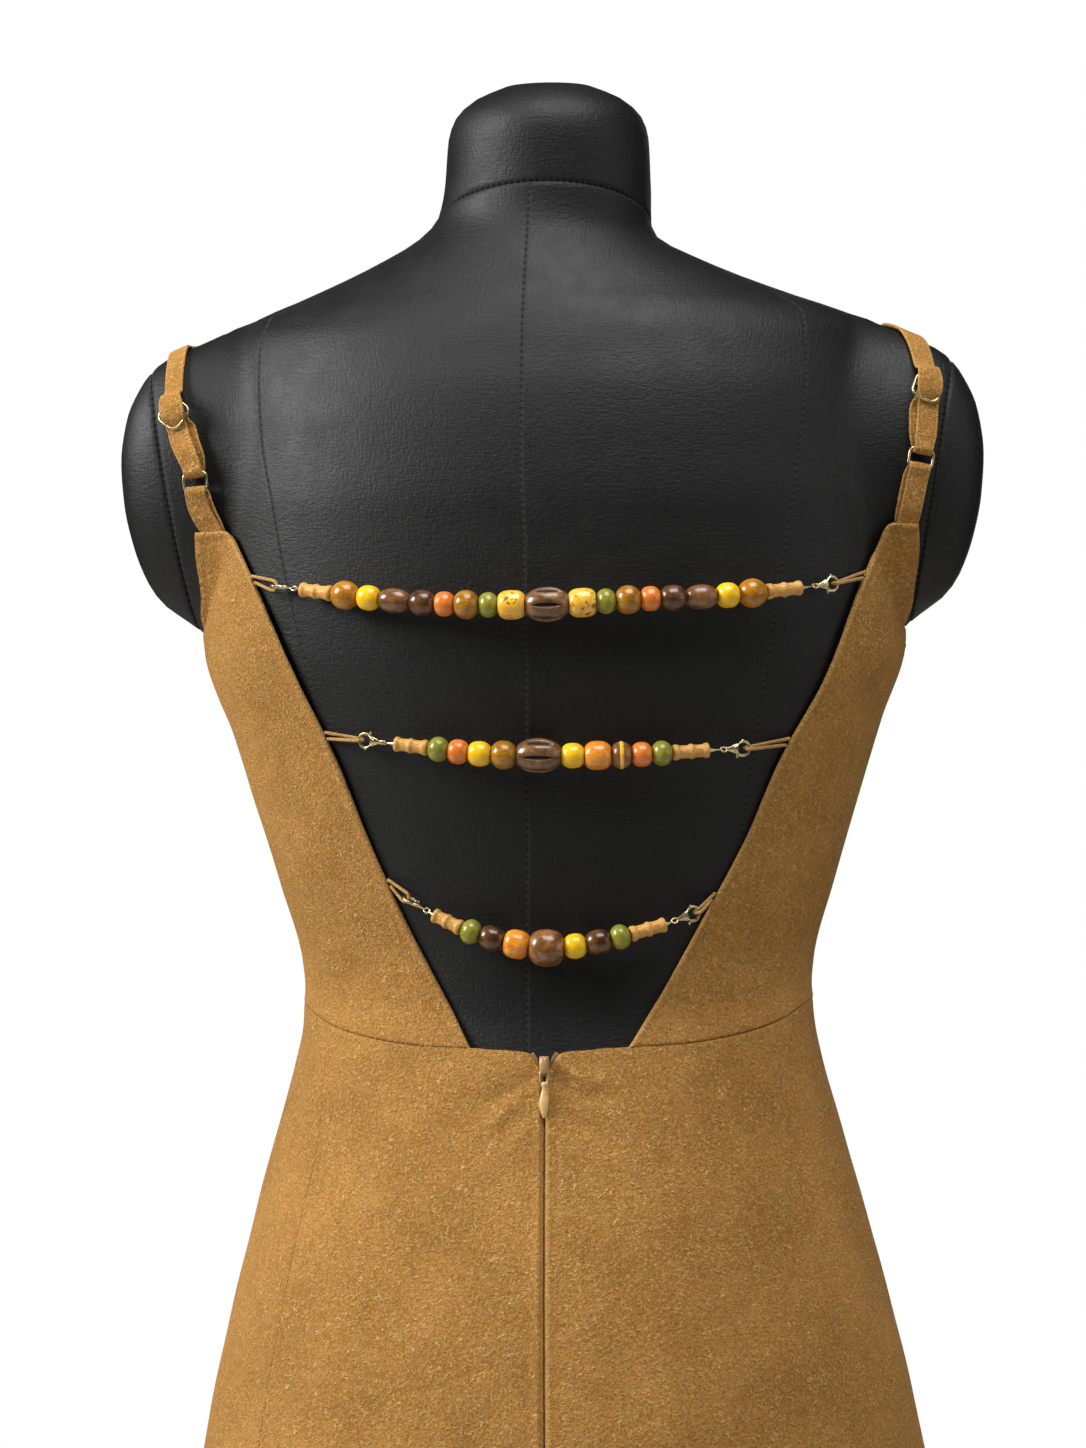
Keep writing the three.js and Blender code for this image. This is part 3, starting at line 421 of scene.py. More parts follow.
def read_points(mesh: bpy.types.Mesh) -> Array:
    """A mesh's points in millimetres."""
    points = np.zeros(len(mesh.vertices) * 3)
    mesh.vertices.foreach_get("co", points)
    return points.reshape(-1, 3) / MM


def write_points(mesh: bpy.types.Mesh, points: Array) -> None:
    """Moves a mesh's points to places in millimetres."""
    mesh.vertices.foreach_set("co", (points * MM).ravel())
    mesh.update()


def cloth_shell(name: str, grid: Array, out: Array, edge: Array, insets: Sequence[float]) -> Piece:
    """A wall of cloth with rounded edges.

    Args:
        name: the piece's name.
        grid: rows of points of the outer face.
        out: the way out at each point.
        edge: how near each point is to a worn edge, from 0 to 1.
        insets: how far the faces stop short of each rounded edge, in the order of a panel's edges.

    Returns:
        The closed shell.
    """
    rows, columns, _ = grid.shape
    middle = grid - out * WALL / 2
    layers = []
    for layer in (grid.copy(), grid - out * WALL):
        whole = layer.copy()
        layer[:, 0] += unit(whole[:, 1] - whole[:, 0]) * insets[0]
        layer[:, -1] += unit(whole[:, -2] - whole[:, -1]) * insets[1]
        layer[0] += unit(whole[1] - whole[0]) * insets[2]
        layer[-1] += unit(whole[-2] - whole[-1]) * insets[3]
        layers.append(layer.reshape(-1, 3))
    index = np.arange(rows * columns).reshape(rows, columns)
    rim = np.concatenate([index[0, :-1], index[:-1, -1], index[-1, :0:-1], index[:0:-1, 0]])
    size, count = rows * columns, len(rim)
    following = np.roll(np.arange(count), -1)
    quads = grid_quads(rows, columns)
    half_way = 2 * size + np.arange(count)
    low = np.stack([rim[following], rim, half_way, half_way[following]], -1)
    high = np.stack([half_way[following], half_way, rim + size, rim[following] + size], -1)
    faces = np.concatenate([quads, quads[:, ::-1] + size, low, high])
    points = np.concatenate([*layers, middle.reshape(-1, 3)[rim]])
    worn = np.concatenate([edge.ravel(), edge.ravel(), edge.ravel()[rim]])
    return build_mesh(name, points, faces.tolist(), worn=worn)


def sweep(name: str, rings: Array, **marks: Array) -> Piece:
    """A closed body through rings of points, with flat ends."""
    count, around, _ = rings.shape
    faces = grid_quads(count, around, True).tolist()
    faces.append(list(range(around - 1, -1, -1)))
    faces.append([(count - 1) * around + i for i in range(around)])
    made = build_mesh(name, rings, faces, **marks)
    made.data.set_sharp_from_angle(angle=math.radians(60))
    return made


def tube_rings(path: Path, count: int, radius: float, around: int, spin: float = 0.0) -> Array:
    """Rings of points round a path."""
    shares = np.linspace(0, 1, count)
    middle, ahead = path.at(shares), path.ahead(shares)
    side = np.array([0, 0, 1.0]) if abs(ahead[0, 2]) < 0.8 else np.array([1.0, 0, 0])
    turn = np.linspace(0, 2 * math.pi, around, endpoint=False) + spin
    rings = []
    for point, way in zip(middle, ahead):
        side = unit(side - way * (side @ way))
        other = np.cross(way, side)
        rings.append(point + radius * (np.cos(turn)[:, None] * side + np.sin(turn)[:, None] * other))
    return np.array(rings)


# ---- Blender's own tools


def start(primitive: Callable[..., object], **sizes: object) -> Piece:
    """Adds a primitive with nothing else selected, and goes into edit mode."""
    bpy.ops.object.select_all(action="DESELECT")
    primitive(**sizes)
    made = bpy.context.object
    bpy.ops.object.mode_set(mode="EDIT")
    return made


def pick(made: Piece, test: Callable[[Vector], bool]) -> None:
    """Selects the points of a piece that pass a test of their place in millimetres."""
    bpy.ops.mesh.select_all(action="DESELECT")
    mesh = bmesh.from_edit_mesh(made.data)
    for point in mesh.verts:
        point.select_set(test(made.matrix_world @ point.co / MM))
    mesh.select_flush(True)
    bmesh.update_edit_mesh(made.data)


def finish_shape(made: Piece, name: str, angle: float = 40) -> Piece:
    """Leaves edit mode with faces outwards, the place in the mesh and smooth shading."""
    bpy.ops.mesh.select_all(action="SELECT")
    bpy.ops.mesh.normals_make_consistent(inside=False)
    bpy.ops.object.mode_set(mode="OBJECT")
    bpy.ops.object.transform_apply(location=True, rotation=True, scale=True)
    bpy.ops.object.shade_smooth_by_angle(angle=math.radians(angle))
    made.name = made.data.name = name
    return made


def turned(name: str, profile: Table, around: int, bored: bool = False, angle: float = 40) -> Piece:
    """A round piece drawn up ring by ring, as on a lathe.

    Args:
        name: the piece's name.
        profile: height and radius of each ring.
        around: points in a ring.
        bored: True if the last ring joins the first through the middle.
        angle: edges sharper than this stay sharp.

    Returns:
        The piece, round the z axis.
    """
    height, radius = profile[0]
    made = start(bpy.ops.mesh.primitive_circle_add, vertices=around, radius=radius * MM,
                 location=(0, 0, height * MM))
    for next_height, next_radius in profile[1:]:
        rise = (0, 0, (next_height - height) * MM)
        bpy.ops.mesh.extrude_edges_move(TRANSFORM_OT_translate={"value": rise})
        grow = next_radius / radius
        bpy.ops.transform.resize(value=(grow, grow, 1), center_override=(0, 0, next_height * MM))
        height, radius = next_height, next_radius
    if bored:
        bpy.ops.mesh.select_all(action="DESELECT")
        bpy.ops.mesh.select_non_manifold()
        bpy.ops.mesh.bridge_edge_loops()
    else:
        bpy.ops.mesh.select_all(action="SELECT")
        bpy.ops.mesh.fill_holes(sides=0)
    return finish_shape(made, name, angle)


def wire_loop(name: str, width: float, height: float, wire: float, corner: float = 2.0) -> Piece:
    """A closed loop of round wire with rounded corners, flat in x and y.

    Args:
        name: the piece's name.
        width: between the middles of the wire, along x.
        height: the same along y.
        wire: radius of the wire.
        corner: radius of the corners.

    Returns:
        The loop, round the origin.
    """
    made = start(bpy.ops.mesh.primitive_torus_add, major_radius=corner * MM, minor_radius=wire * MM,
                 major_segments=40, minor_segments=12)
    for axis, size in enumerate((width, height)):
        away = (size / 2 - corner) * MM
        for sign in (-1, 1):
            pick(made, lambda p, s=sign, a=axis: p[a] * s > 1e-4)
            move = [0.0, 0.0, 0.0]
            move[axis] = sign * away
            bpy.ops.transform.translate(value=move)
    return finish_shape(made, name)


def block(name: str, size: Sequence[float], soften: float, at: Sequence[float] = (0, 0, 0)) -> Piece:
    """A small block with its edges rounded over."""
    made = start(bpy.ops.mesh.primitive_cube_add, size=MM, location=[c * MM for c in at])
    bpy.ops.transform.resize(value=size)
    bpy.ops.mesh.bevel(offset=soften * MM, segments=3, affect="EDGES")
    return finish_shape(made, name)


def place(made: Piece, axes: Array, origin: Array) -> Piece:
    """Moves a piece's mesh from its own frame to its place.

    Args:
        made: the piece.
        axes: its x, y and z as three rows.
        origin: where its origin goes, in millimetres.

    Returns:
        The same piece.
    """
    matrix = Matrix(np.array(axes).T.tolist()).to_4x4()
    matrix.translation = Vector(np.asarray(origin, float) * MM)
    made.data.transform(matrix)
    return made


def copied(source: Piece, name: str) -> Piece:
    """A copy of a piece with its own mesh."""
    made = source.copy()
    made.data = source.data.copy()
    made.name = made.data.name = name
    bpy.context.scene.collection.objects.link(made)
    return made


def joined(name: str, parts: Sequence[Piece]) -> Piece:
    """Several pieces as one object."""
    bpy.ops.object.select_all(action="DESELECT")
    for part in parts:
        part.select_set(True)
    bpy.context.view_layer.objects.active = parts[0]
    bpy.ops.object.join()
    parts[0].name = parts[0].data.name = name
    return parts[0]


# ---- finishes


def linear(code: str) -> tuple[float, float, float, float]:
    """An sRGB hex colour as the linear colour that a shader reads."""
    parts = [int(code[i : i + 2], 16) / 255 for i in (1, 3, 5)]
    return (*((c / 12.92 if c <= 0.04045 else ((c + 0.055) / 1.055) ** 2.4) for c in parts), 1.0)


def per(size: float) -> float:
    """The scale of a pattern on metres whose features are this many millimetres."""
    return 1 / (size * MM)


def add(tree: Tree, kind: str, inputs: dict | None = None, out: int | str = 0, **settings: object) -> Socket:
    """Adds a node with its settings, and sets or links its inputs.

    Args:
        tree: the material's tree.
        kind: the node's type, without its first word.
        inputs: value or socket for each input, by name or index.
        out: which output to return.
        settings: the node's own settings.

    Returns:
        One output of the new node.
    """
    made = tree.nodes.new("ShaderNode" + kind)
    for name, value in settings.items():
        setattr(made, name, value)
    for key, value in (inputs or {}).items():
        if isinstance(value, Socket):
            tree.links.new(value, made.inputs[key])
        else:
            made.inputs[key].default_value = value
    return made.outputs[out] if made.outputs else None


class Shader:
    """Draws up one material, with a node for each call."""

    def __init__(self, tree: Tree) -> None:
        """Takes the material's tree."""
        self.tree = tree

    def here(self) -> Socket:
        """Places on the piece, in metres."""
        return add(self.tree, "TexCoord", out="Object")

    def mark(self, name: str, out: str = "Fac") -> Socket:
        """A number or a vector that the points keep."""
        return add(self.tree, "Attribute", out=out, attribute_name=name)

    def drawn(self, at: Socket, scale: Sequence[float]) -> Socket:
        """Places pressed together along an axis, which draws a pattern out along it."""
        return add(self.tree, "Mapping", {"Vector": at, "Scale": scale})

    def noise(
        self, at: Socket, scale: float, detail: float, rough: float = 0.5, twist: float = 0.0
    ) -> Socket:
        """A cloudy field from 0 to 1.

        Args:
            at: places.
            scale: features in one unit of the places.
            detail: how many finer fields are laid over the first.
            rough: how strongly they show.
            twist: how far the field winds.

        Returns:
            The field.
        """
        return add(self.tree, "TexNoise", {"Vector": at, "Scale": scale, "Detail": detail,
                                           "Roughness": rough, "Distortion": twist})

    def math(self, operation: str, *values: object, **settings: object) -> Socket:
        """One step of arithmetic on values or sockets."""
        return add(self.tree, "Math", dict(enumerate(values)), operation=operation, **settings)

    def ranged(
        self, value: Socket, low: float, high: float, to: float = 1.0, start_at: float = 0.0
    ) -> Socket:
        """A value between two bounds as a share."""
        return add(self.tree, "MapRange", {"Value": value, "From Min": low, "From Max": high,
                                           "To Min": start_at, "To Max": to})

    def mixed(self, share: object, a: object, b: object) -> Socket:
        """Colour a turned towards colour b by a share; a colour is a socket or a hex code."""
        a, b = (linear(c) if isinstance(c, str) else c for c in (a, b))
        return add(self.tree, "Mix", {0: share, 6: a, 7: b}, out=2, data_type="RGBA")

    def tint(self, value: Socket, low: float, high: float, share: float, a: object, b: object) -> Socket:
        """Colour a turned towards b, by up to a share, as a value goes from low to high."""
        return self.mixed(self.ranged(value, low, high, share), a, b)

    def bump(self, strength: float, deep: float, height: Socket) -> Socket:
        """Light and shade of a fine relief, some parts of a millimetre deep."""
        return add(self.tree, "Bump", {"Strength": strength, "Distance": deep * MM, "Height": height})

    def surface(self, base: Socket, rough: object, normal: Socket | None = None, **more: object) -> Socket:
        """The finished surface.

        Args:
            base: its colour.
            rough: its roughness.
            normal: its relief, if it has one.
            more: other inputs, each under its name with _ for a space.

        Returns:
            The shader's output.
        """
        inputs = {"Base Color": base, "Roughness": rough}
        inputs.update({name.replace("_", " "): value for name, value in more.items()})
        if normal is not None:
            inputs["Normal"] = normal
        return add(self.tree, "BsdfPrincipled", inputs)


@dataclass(frozen=True)
class Finish:
    """A material that is made once and shared."""

    name: str

    def shade(self, s: Shader) -> Socket:
        """Draws the surface and returns its output."""
        raise NotImplementedError

    def material(self) -> bpy.types.Material:
        """The material, made when it is first wanted."""
        made = bpy.data.materials.get(self.name)
        if made is None:
            made = bpy.data.materials.new(self.name)
            made.use_nodes = True
            made.node_tree.nodes.clear()
            surface = self.shade(Shader(made.node_tree))
            add(made.node_tree, "OutputMaterial", {"Surface": surface})
        return made


@dataclass(frozen=True)
class Suede(Finish):
    """Brushed synthetic suede: a matt nap of short curled fibres, rubbed paler at turned edges."""

    middle: str = "#b98442"
    deep: str = "#865a22"
    pale: str = "#deb06c"

    def shade(self, s: Shader) -> Socket:
        """Mottled tan with curled flecks and a soft sheen."""
        here = s.here()
        # the nap lies one way or another in patches a hand wide
        patch = s.noise(here, per(46), 4, 0.62)
        brushed = s.noise(here, per(9), 4, 0.7, 0.8)
        fibre = s.noise(here, per(1.3), 3, 0.7)
        base = s.tint(patch, 0.4, 0.66, 0.5, self.middle, self.deep)
        base = s.tint(brushed, 0.42, 0.7, 0.42, base, self.deep)
        base = s.tint(fibre, 0.5, 0.75, 0.45, base, self.pale)
        base = s.tint(fibre, 0.52, 0.34, 0.7, base, self.deep)
        # curled fibres are the level lines of two winding fields, broken by a third
        kept = s.ranged(s.noise(here, per(2.6), 2), 0.4, 0.56)
        height = fibre
        for size, wide in ((3.1, 0.06), (2.3, 0.07)):
            winding = s.noise(here, per(size), 0, twist=1.3)
            off_line = s.math("ABSOLUTE", s.math("SUBTRACT", winding, 0.5))
            curl = s.math("MULTIPLY", s.ranged(off_line, wide, 0.0), kept)
            base = s.mixed(s.math("MULTIPLY", curl, 0.85), base, self.pale)
            height = s.math("MULTIPLY_ADD", curl, 1.1, height)
        base = s.mixed(s.math("MULTIPLY", s.mark("worn"), 0.4), base, self.pale)
        height = s.math("MULTIPLY_ADD", brushed, 0.7, height)
        return s.surface(base, 0.95, s.bump(0.7, 1.0, height), Specular_IOR_Level=0.15, Sheen_Weight=0.12,
                         Sheen_Roughness=0.55, Sheen_Tint=linear("#e6c48c"))


@dataclass(frozen=True)
class WovenCover(Finish):
    """Coated black linen stretched over the form: a fine uneven weave with a low sheen."""

    colour: str = "#060606"
    raised: str = "#0f0f0f"
    pitch: float = 1.3  # millimetres; the real thread is finer, and this is as fine as shows
    stitch_pitch: float = 3.4  # millimetres

    def shade(self, s: Shader) -> Socket:
        """Threads both ways, with paler stitches in the dark seams."""
        cloth = s.mark("weave", "Vector")
        # uneven threads both ways, drawn out along their own length
        warp, weft = (s.noise(s.drawn(cloth, scale), per(self.pitch), 3, 0.65, 0.3)
                      for scale in ((0.3, 1, 1), (1, 0.34, 1)))
        here = s.here()
        slub = s.noise(here, per(14), 4)
        crumple = s.noise(here, per(1.8), 3, twist=1.0)
        height = s.math("MULTIPLY_ADD", crumple, 0.45, s.math("ADD", weft, warp))
        base = s.tint(height, 1.15, 1.7, 0.8, self.colour, self.raised)
        base = s.tint(slub, 0.4, 0.7, 0.3, base, "#070707")
        seam = s.mark("seam")
        beat = s.math("PINGPONG", s.mark("run"), self.stitch_pitch / 2)
        stitch = s.math("MULTIPLY", seam, s.ranged(beat, 0.4, 1.0, 0.6))
        base = s.mixed(stitch, s.mixed(seam, base, "#030303"), "#3c3c3a")
        rough = s.ranged(slub, 0.3, 0.7, 0.59, 0.51)
        rough = s.math("MULTIPLY_ADD", seam, 0.5, rough, use_clamp=True)
        return s.surface(base, rough, s.bump(0.65, 0.4, height), Specular_IOR_Level=0.41)


@dataclass(frozen=True)
class LacqueredWood(Finish):
    """A turned wooden bead, stained and dipped in clear lacquer: grain under a wet gloss."""

    stain: str = "#8a5a2c"
    grain: str = "#4a2d1c"
    glow: str = "#b57a35"
    figure: float = 0.6
    streaks: float = 0.0
    rough: float = 0.3

    def shade(self, s: Shader) -> Socket:
        """Grain that runs along the bead's bore, with a broad light figure, and painted shade in the carved
        slits.
        """
        own = s.mark("grain", "Vector")
        fine = s.noise(s.drawn(own, (1, 1, 0.22)), 1.3, 5, 0.65)
        cloud = s.noise(own, 0.16, 3, twist=0.9)
        streak = s.noise(own, 0.2, 1, twist=2.2)
        base = s.tint(cloud, 0.42, 0.62, 0.85, self.stain, self.glow)
        base = s.tint(fine, 0.45, 0.72, self.figure, base, self.grain)
        base = s.tint(streak, 0.6, 0.66, self.streaks, base, self.grain)
        groove = s.mark("carved")
        # painted shade: the carved slits are darkened to near black
        base = s.mixed(groove, base, "#0d0704")
        coat = s.ranged(groove, 0.0, 0.5, 0.0, 0.45)
        rough = s.ranged(groove, 0.0, 0.5, 0.9, self.rough)
        return s.surface(base, rough, s.bump(0.12, 0.2, fine), Specular_IOR_Level=0.4, Coat_Weight=coat,
                         Coat_Roughness=0.07)


@dataclass(frozen=True)
class RawWood(Finish):
    """Pale turned hardwood with a satin seal: straight grain and fine tool rings."""

    def shade(self, s: Shader) -> Socket:
        """Long grain with pores."""
        drawn = s.drawn(s.mark("grain", "Vector"), (1, 1, 0.16))
        fine = s.noise(drawn, 2, 5)
        base = s.tint(fine, 0.4, 0.72, 1, "#e0a953", "#a8722e")
        base = s.tint(s.noise(drawn, 6, 2), 0.58, 0.68, 0.6, base, "#6f4419")
        return s.surface(base, 0.48, s.bump(0.2, 0.2, fine))


@dataclass(frozen=True)
class PlatedBrass(Finish):
    """Brass wire and castings with a pale gold plate, lightly tarnished in soft clouds."""

    def shade(self, s: Shader) -> Socket:
        """Bright metal with soft darker clouds."""
        cloud = s.noise(s.here(), per(2.2), 3)
        base = s.tint(cloud, 0.45, 0.7, 0.6, "#d8c79a", "#8f7a4b")
        return s.surface(base, s.ranged(cloud, 0.3, 0.7, 0.42, 0.24), Metallic=1.0)


@dataclass(frozen=True)
class Enamel(Finish):
    """Zinc casting sprayed with tan enamel: smooth and even, with a low gloss."""

    colour: str = "#dcb979"
    pooled: str = "#b58d4c"

    def shade(self, s: Shader) -> Socket:
        """An even coat, a little darker where it pooled."""
        base = s.tint(s.noise(s.here(), per(5), 2), 0.4, 0.7, 0.5, self.colour, self.pooled)
        return s.surface(base, 0.34, Coat_Weight=0.2, Coat_Roughness=0.15)


@dataclass(frozen=True)
class WovenTape(Finish):
    """Polyester zip tape: a close herringbone with a faint lustre."""

    low: str = "#4f3414"
    high: str = "#86622f"
    rib: float = 0.9  # millimetres from rib to rib

    def shade(self, s: Shader) -> Socket:
        """Slanting ribs."""
        slanted = add(s.tree, "Mapping", {"Vector": s.here(), "Rotation": (0, 0.6, 0)})
        rib = add(s.tree, "TexWave", {"Vector": slanted, "Scale": math.pi / 10 * per(self.rib),
                                      "Distortion": 0.6}, out="Fac", bands_direction="Z")
        return s.surface(s.mixed(rib, self.low, self.high), 0.8, s.bump(0.5, 0.3, rib))


@dataclass(frozen=True)
class RolledCord(Finish):
    """Suede lace rolled into a cord: matt, with the nap twisted along it."""

    def shade(self, s: Shader) -> Socket:
        """Tan with short darker fibres."""
        fibre = s.noise(s.here(), per(0.8), 3)
        base = s.tint(fibre, 0.4, 0.65, 1, "#bf9556", "#80602f")
        return s.surface(base, 0.85, s.bump(0.4, 0.2, fibre))


@dataclass(frozen=True)
class PowderCoat(Finish):
    """Steel with a satin black powder coat: a fine orange-peel skin."""

    def shade(self, s: Shader) -> Socket:
        """Dark, with a faint dimpled gloss and paler dusty clouds."""
        here = s.here()
        base = s.tint(s.noise(here, per(60), 5), 0.5, 0.75, 0.35, "#232325", "#3c3b39")
        return s.surface(base, 0.42, s.bump(0.25, 0.4, s.noise(here, per(2.4), 2)))


@dataclass(frozen=True)
class PaleFloor(Finish):
    """A plain painted studio floor."""

    def shade(self, s: Shader) -> Socket:
        """Near white, with a faint cloud."""
        return s.surface(s.tint(s.noise(s.here(), 1.5, 2), 0.3, 0.7, 0.5, "#d3d1cd", "#cac8c3"), 0.8)


SUEDE = Suede("brushed_suede")
COVER = WovenCover("coated_linen")
BRASS = PlatedBrass("plated_brass")
ENAMEL = Enamel("sprayed_enamel")
DARKER_ENAMEL = Enamel("worn_enamel", "#a98451", "#6f5330")
# a darker copy of the pull's enamel, for the zip slider
TAPE = WovenTape("woven_zip_tape")
COIL = WovenTape("nylon_coil", "#7b5a2e", "#b08c57")
LACE = RolledCord("rolled_suede_cord")
BARREL_WOOD = RawWood("satin_hardwood")
STEEL = PowderCoat("powder_coated_steel")
FLOOR = PaleFloor("painted_floor")


class BeadKind(Enum):
    """The beads by width along the string, diameter, squareness, end share and finish."""

    AMBER = (13.6, 13.8, 2.0, 0.92, LacqueredWood("amber_bead", "#a8690a", "#5f3806", "#c68a16", 0.5))
    SMALL_AMBER = (11.6, 13.6, 2.2, 0.9,
        LacqueredWood("deep_amber_bead", "#9a640c", "#593608", "#b68018", 0.6))
    YELLOW = (10.6, 12.0, 2.4, 0.9, LacqueredWood("yellow_bead", "#f6bd08", "#cf9406", "#fcca1c", 0.3))
    LONG_BROWN = (15.0, 11.6, 2.2, 0.9, LacqueredWood("walnut_bead", "#6e4726", "#2f190b", "#98693c", 0.7))
    DARK_BROWN = (12.1, 12.2, 2.3, 0.9, LacqueredWood("dark_bead", "#472810", "#1e0d05", "#764a20", 0.6))
    CORAL = (9.2, 11.8, 2.4, 0.88, LacqueredWood("coral_bead", "#df7527", "#ad5118", "#ea8632", 0.3))
    GREEN = (9.3, 12.0, 2.1, 0.9, LacqueredWood("olive_bead", "#858424", "#555414", "#9c9630", 0.4))
    PALE = (12.8, 13.7, 3.0, 0.9, LacqueredWood("pale_bead", "#f6b636", "#9a5510", "#fbc858", 0.18, 0.9))
    CARVED = (20.4, 16.4, 2.1, 0.88, LacqueredWood("carved_bead", "#684526", "#2a170b", "#926a40", 0.6))
    PLAIN_BROWN = (16.8, 17.8, 2.4, 0.9, LacqueredWood("brown_bead", "#704822", "#2e1a0b", "#aa713d", 0.6))
    ORANGE = (12.2, 13.8, 2.6, 0.9, LacqueredWood("orange_bead", "#ea8820", "#a8540f", "#f8a83a", 0.6))
    RINGED = (9.3, 12.6, 2.3, 0.88, LacqueredWood("ringed_bead", "#7a4e26", "#3a200d", "#9c6c38", 0.5))

    @property
    def sizes(self) -> tuple[float, float, float, float]:
        """Width, diameter, squareness and end share."""
        return self.value[:4]

    @property
    def finish(self) -> LacqueredWood:
        """The bead's finish."""
        return self.value[4]


def dress(made: Piece, finish: Finish, body: str = BODY, nodes: Sequence[str] = ()) -> Piece:
    """Gives a piece its finish, slot and body, and the nodes that it stands for."""
    if not made.data.materials:
        made.data.materials.append(finish.material())
    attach(made, body)
    if nodes:
        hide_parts(*nodes)
    log.info("%s: %d faces", made.name, len(made.data.polygons))
    return made


# ---- the form and stand


@dataclass
class CoverSeam:
    """A sewn seam that runs up the form's cover: where it is, and how strongly it shows."""

    SIDE = 999  # stands for the x of a seam along the very side

    line: Table  # z, x
    front: bool
    low: float
    high: float
    table: Curve = field(init=False)

    def __post_init__(self) -> None:
        """Reads the line."""
        self.table = Curve(self.line)

    def angle(self, z: float) -> float:
        """The seam's direction from the axis at a height, between -pi and pi."""
        x = float(self.table(z))
        if abs(x) > self.SIDE - 1:
            return 0.0 if x > 0 else math.pi
        return float(FORM.angle_at(x, z, self.front))

    def strength(self, z: float) -> float:
        """1 where the seam is sewn, and 0 past its ends."""
        return float(smooth(z, self.low - 3, self.low) * (1 - smooth(z, self.high, self.high + 4)))


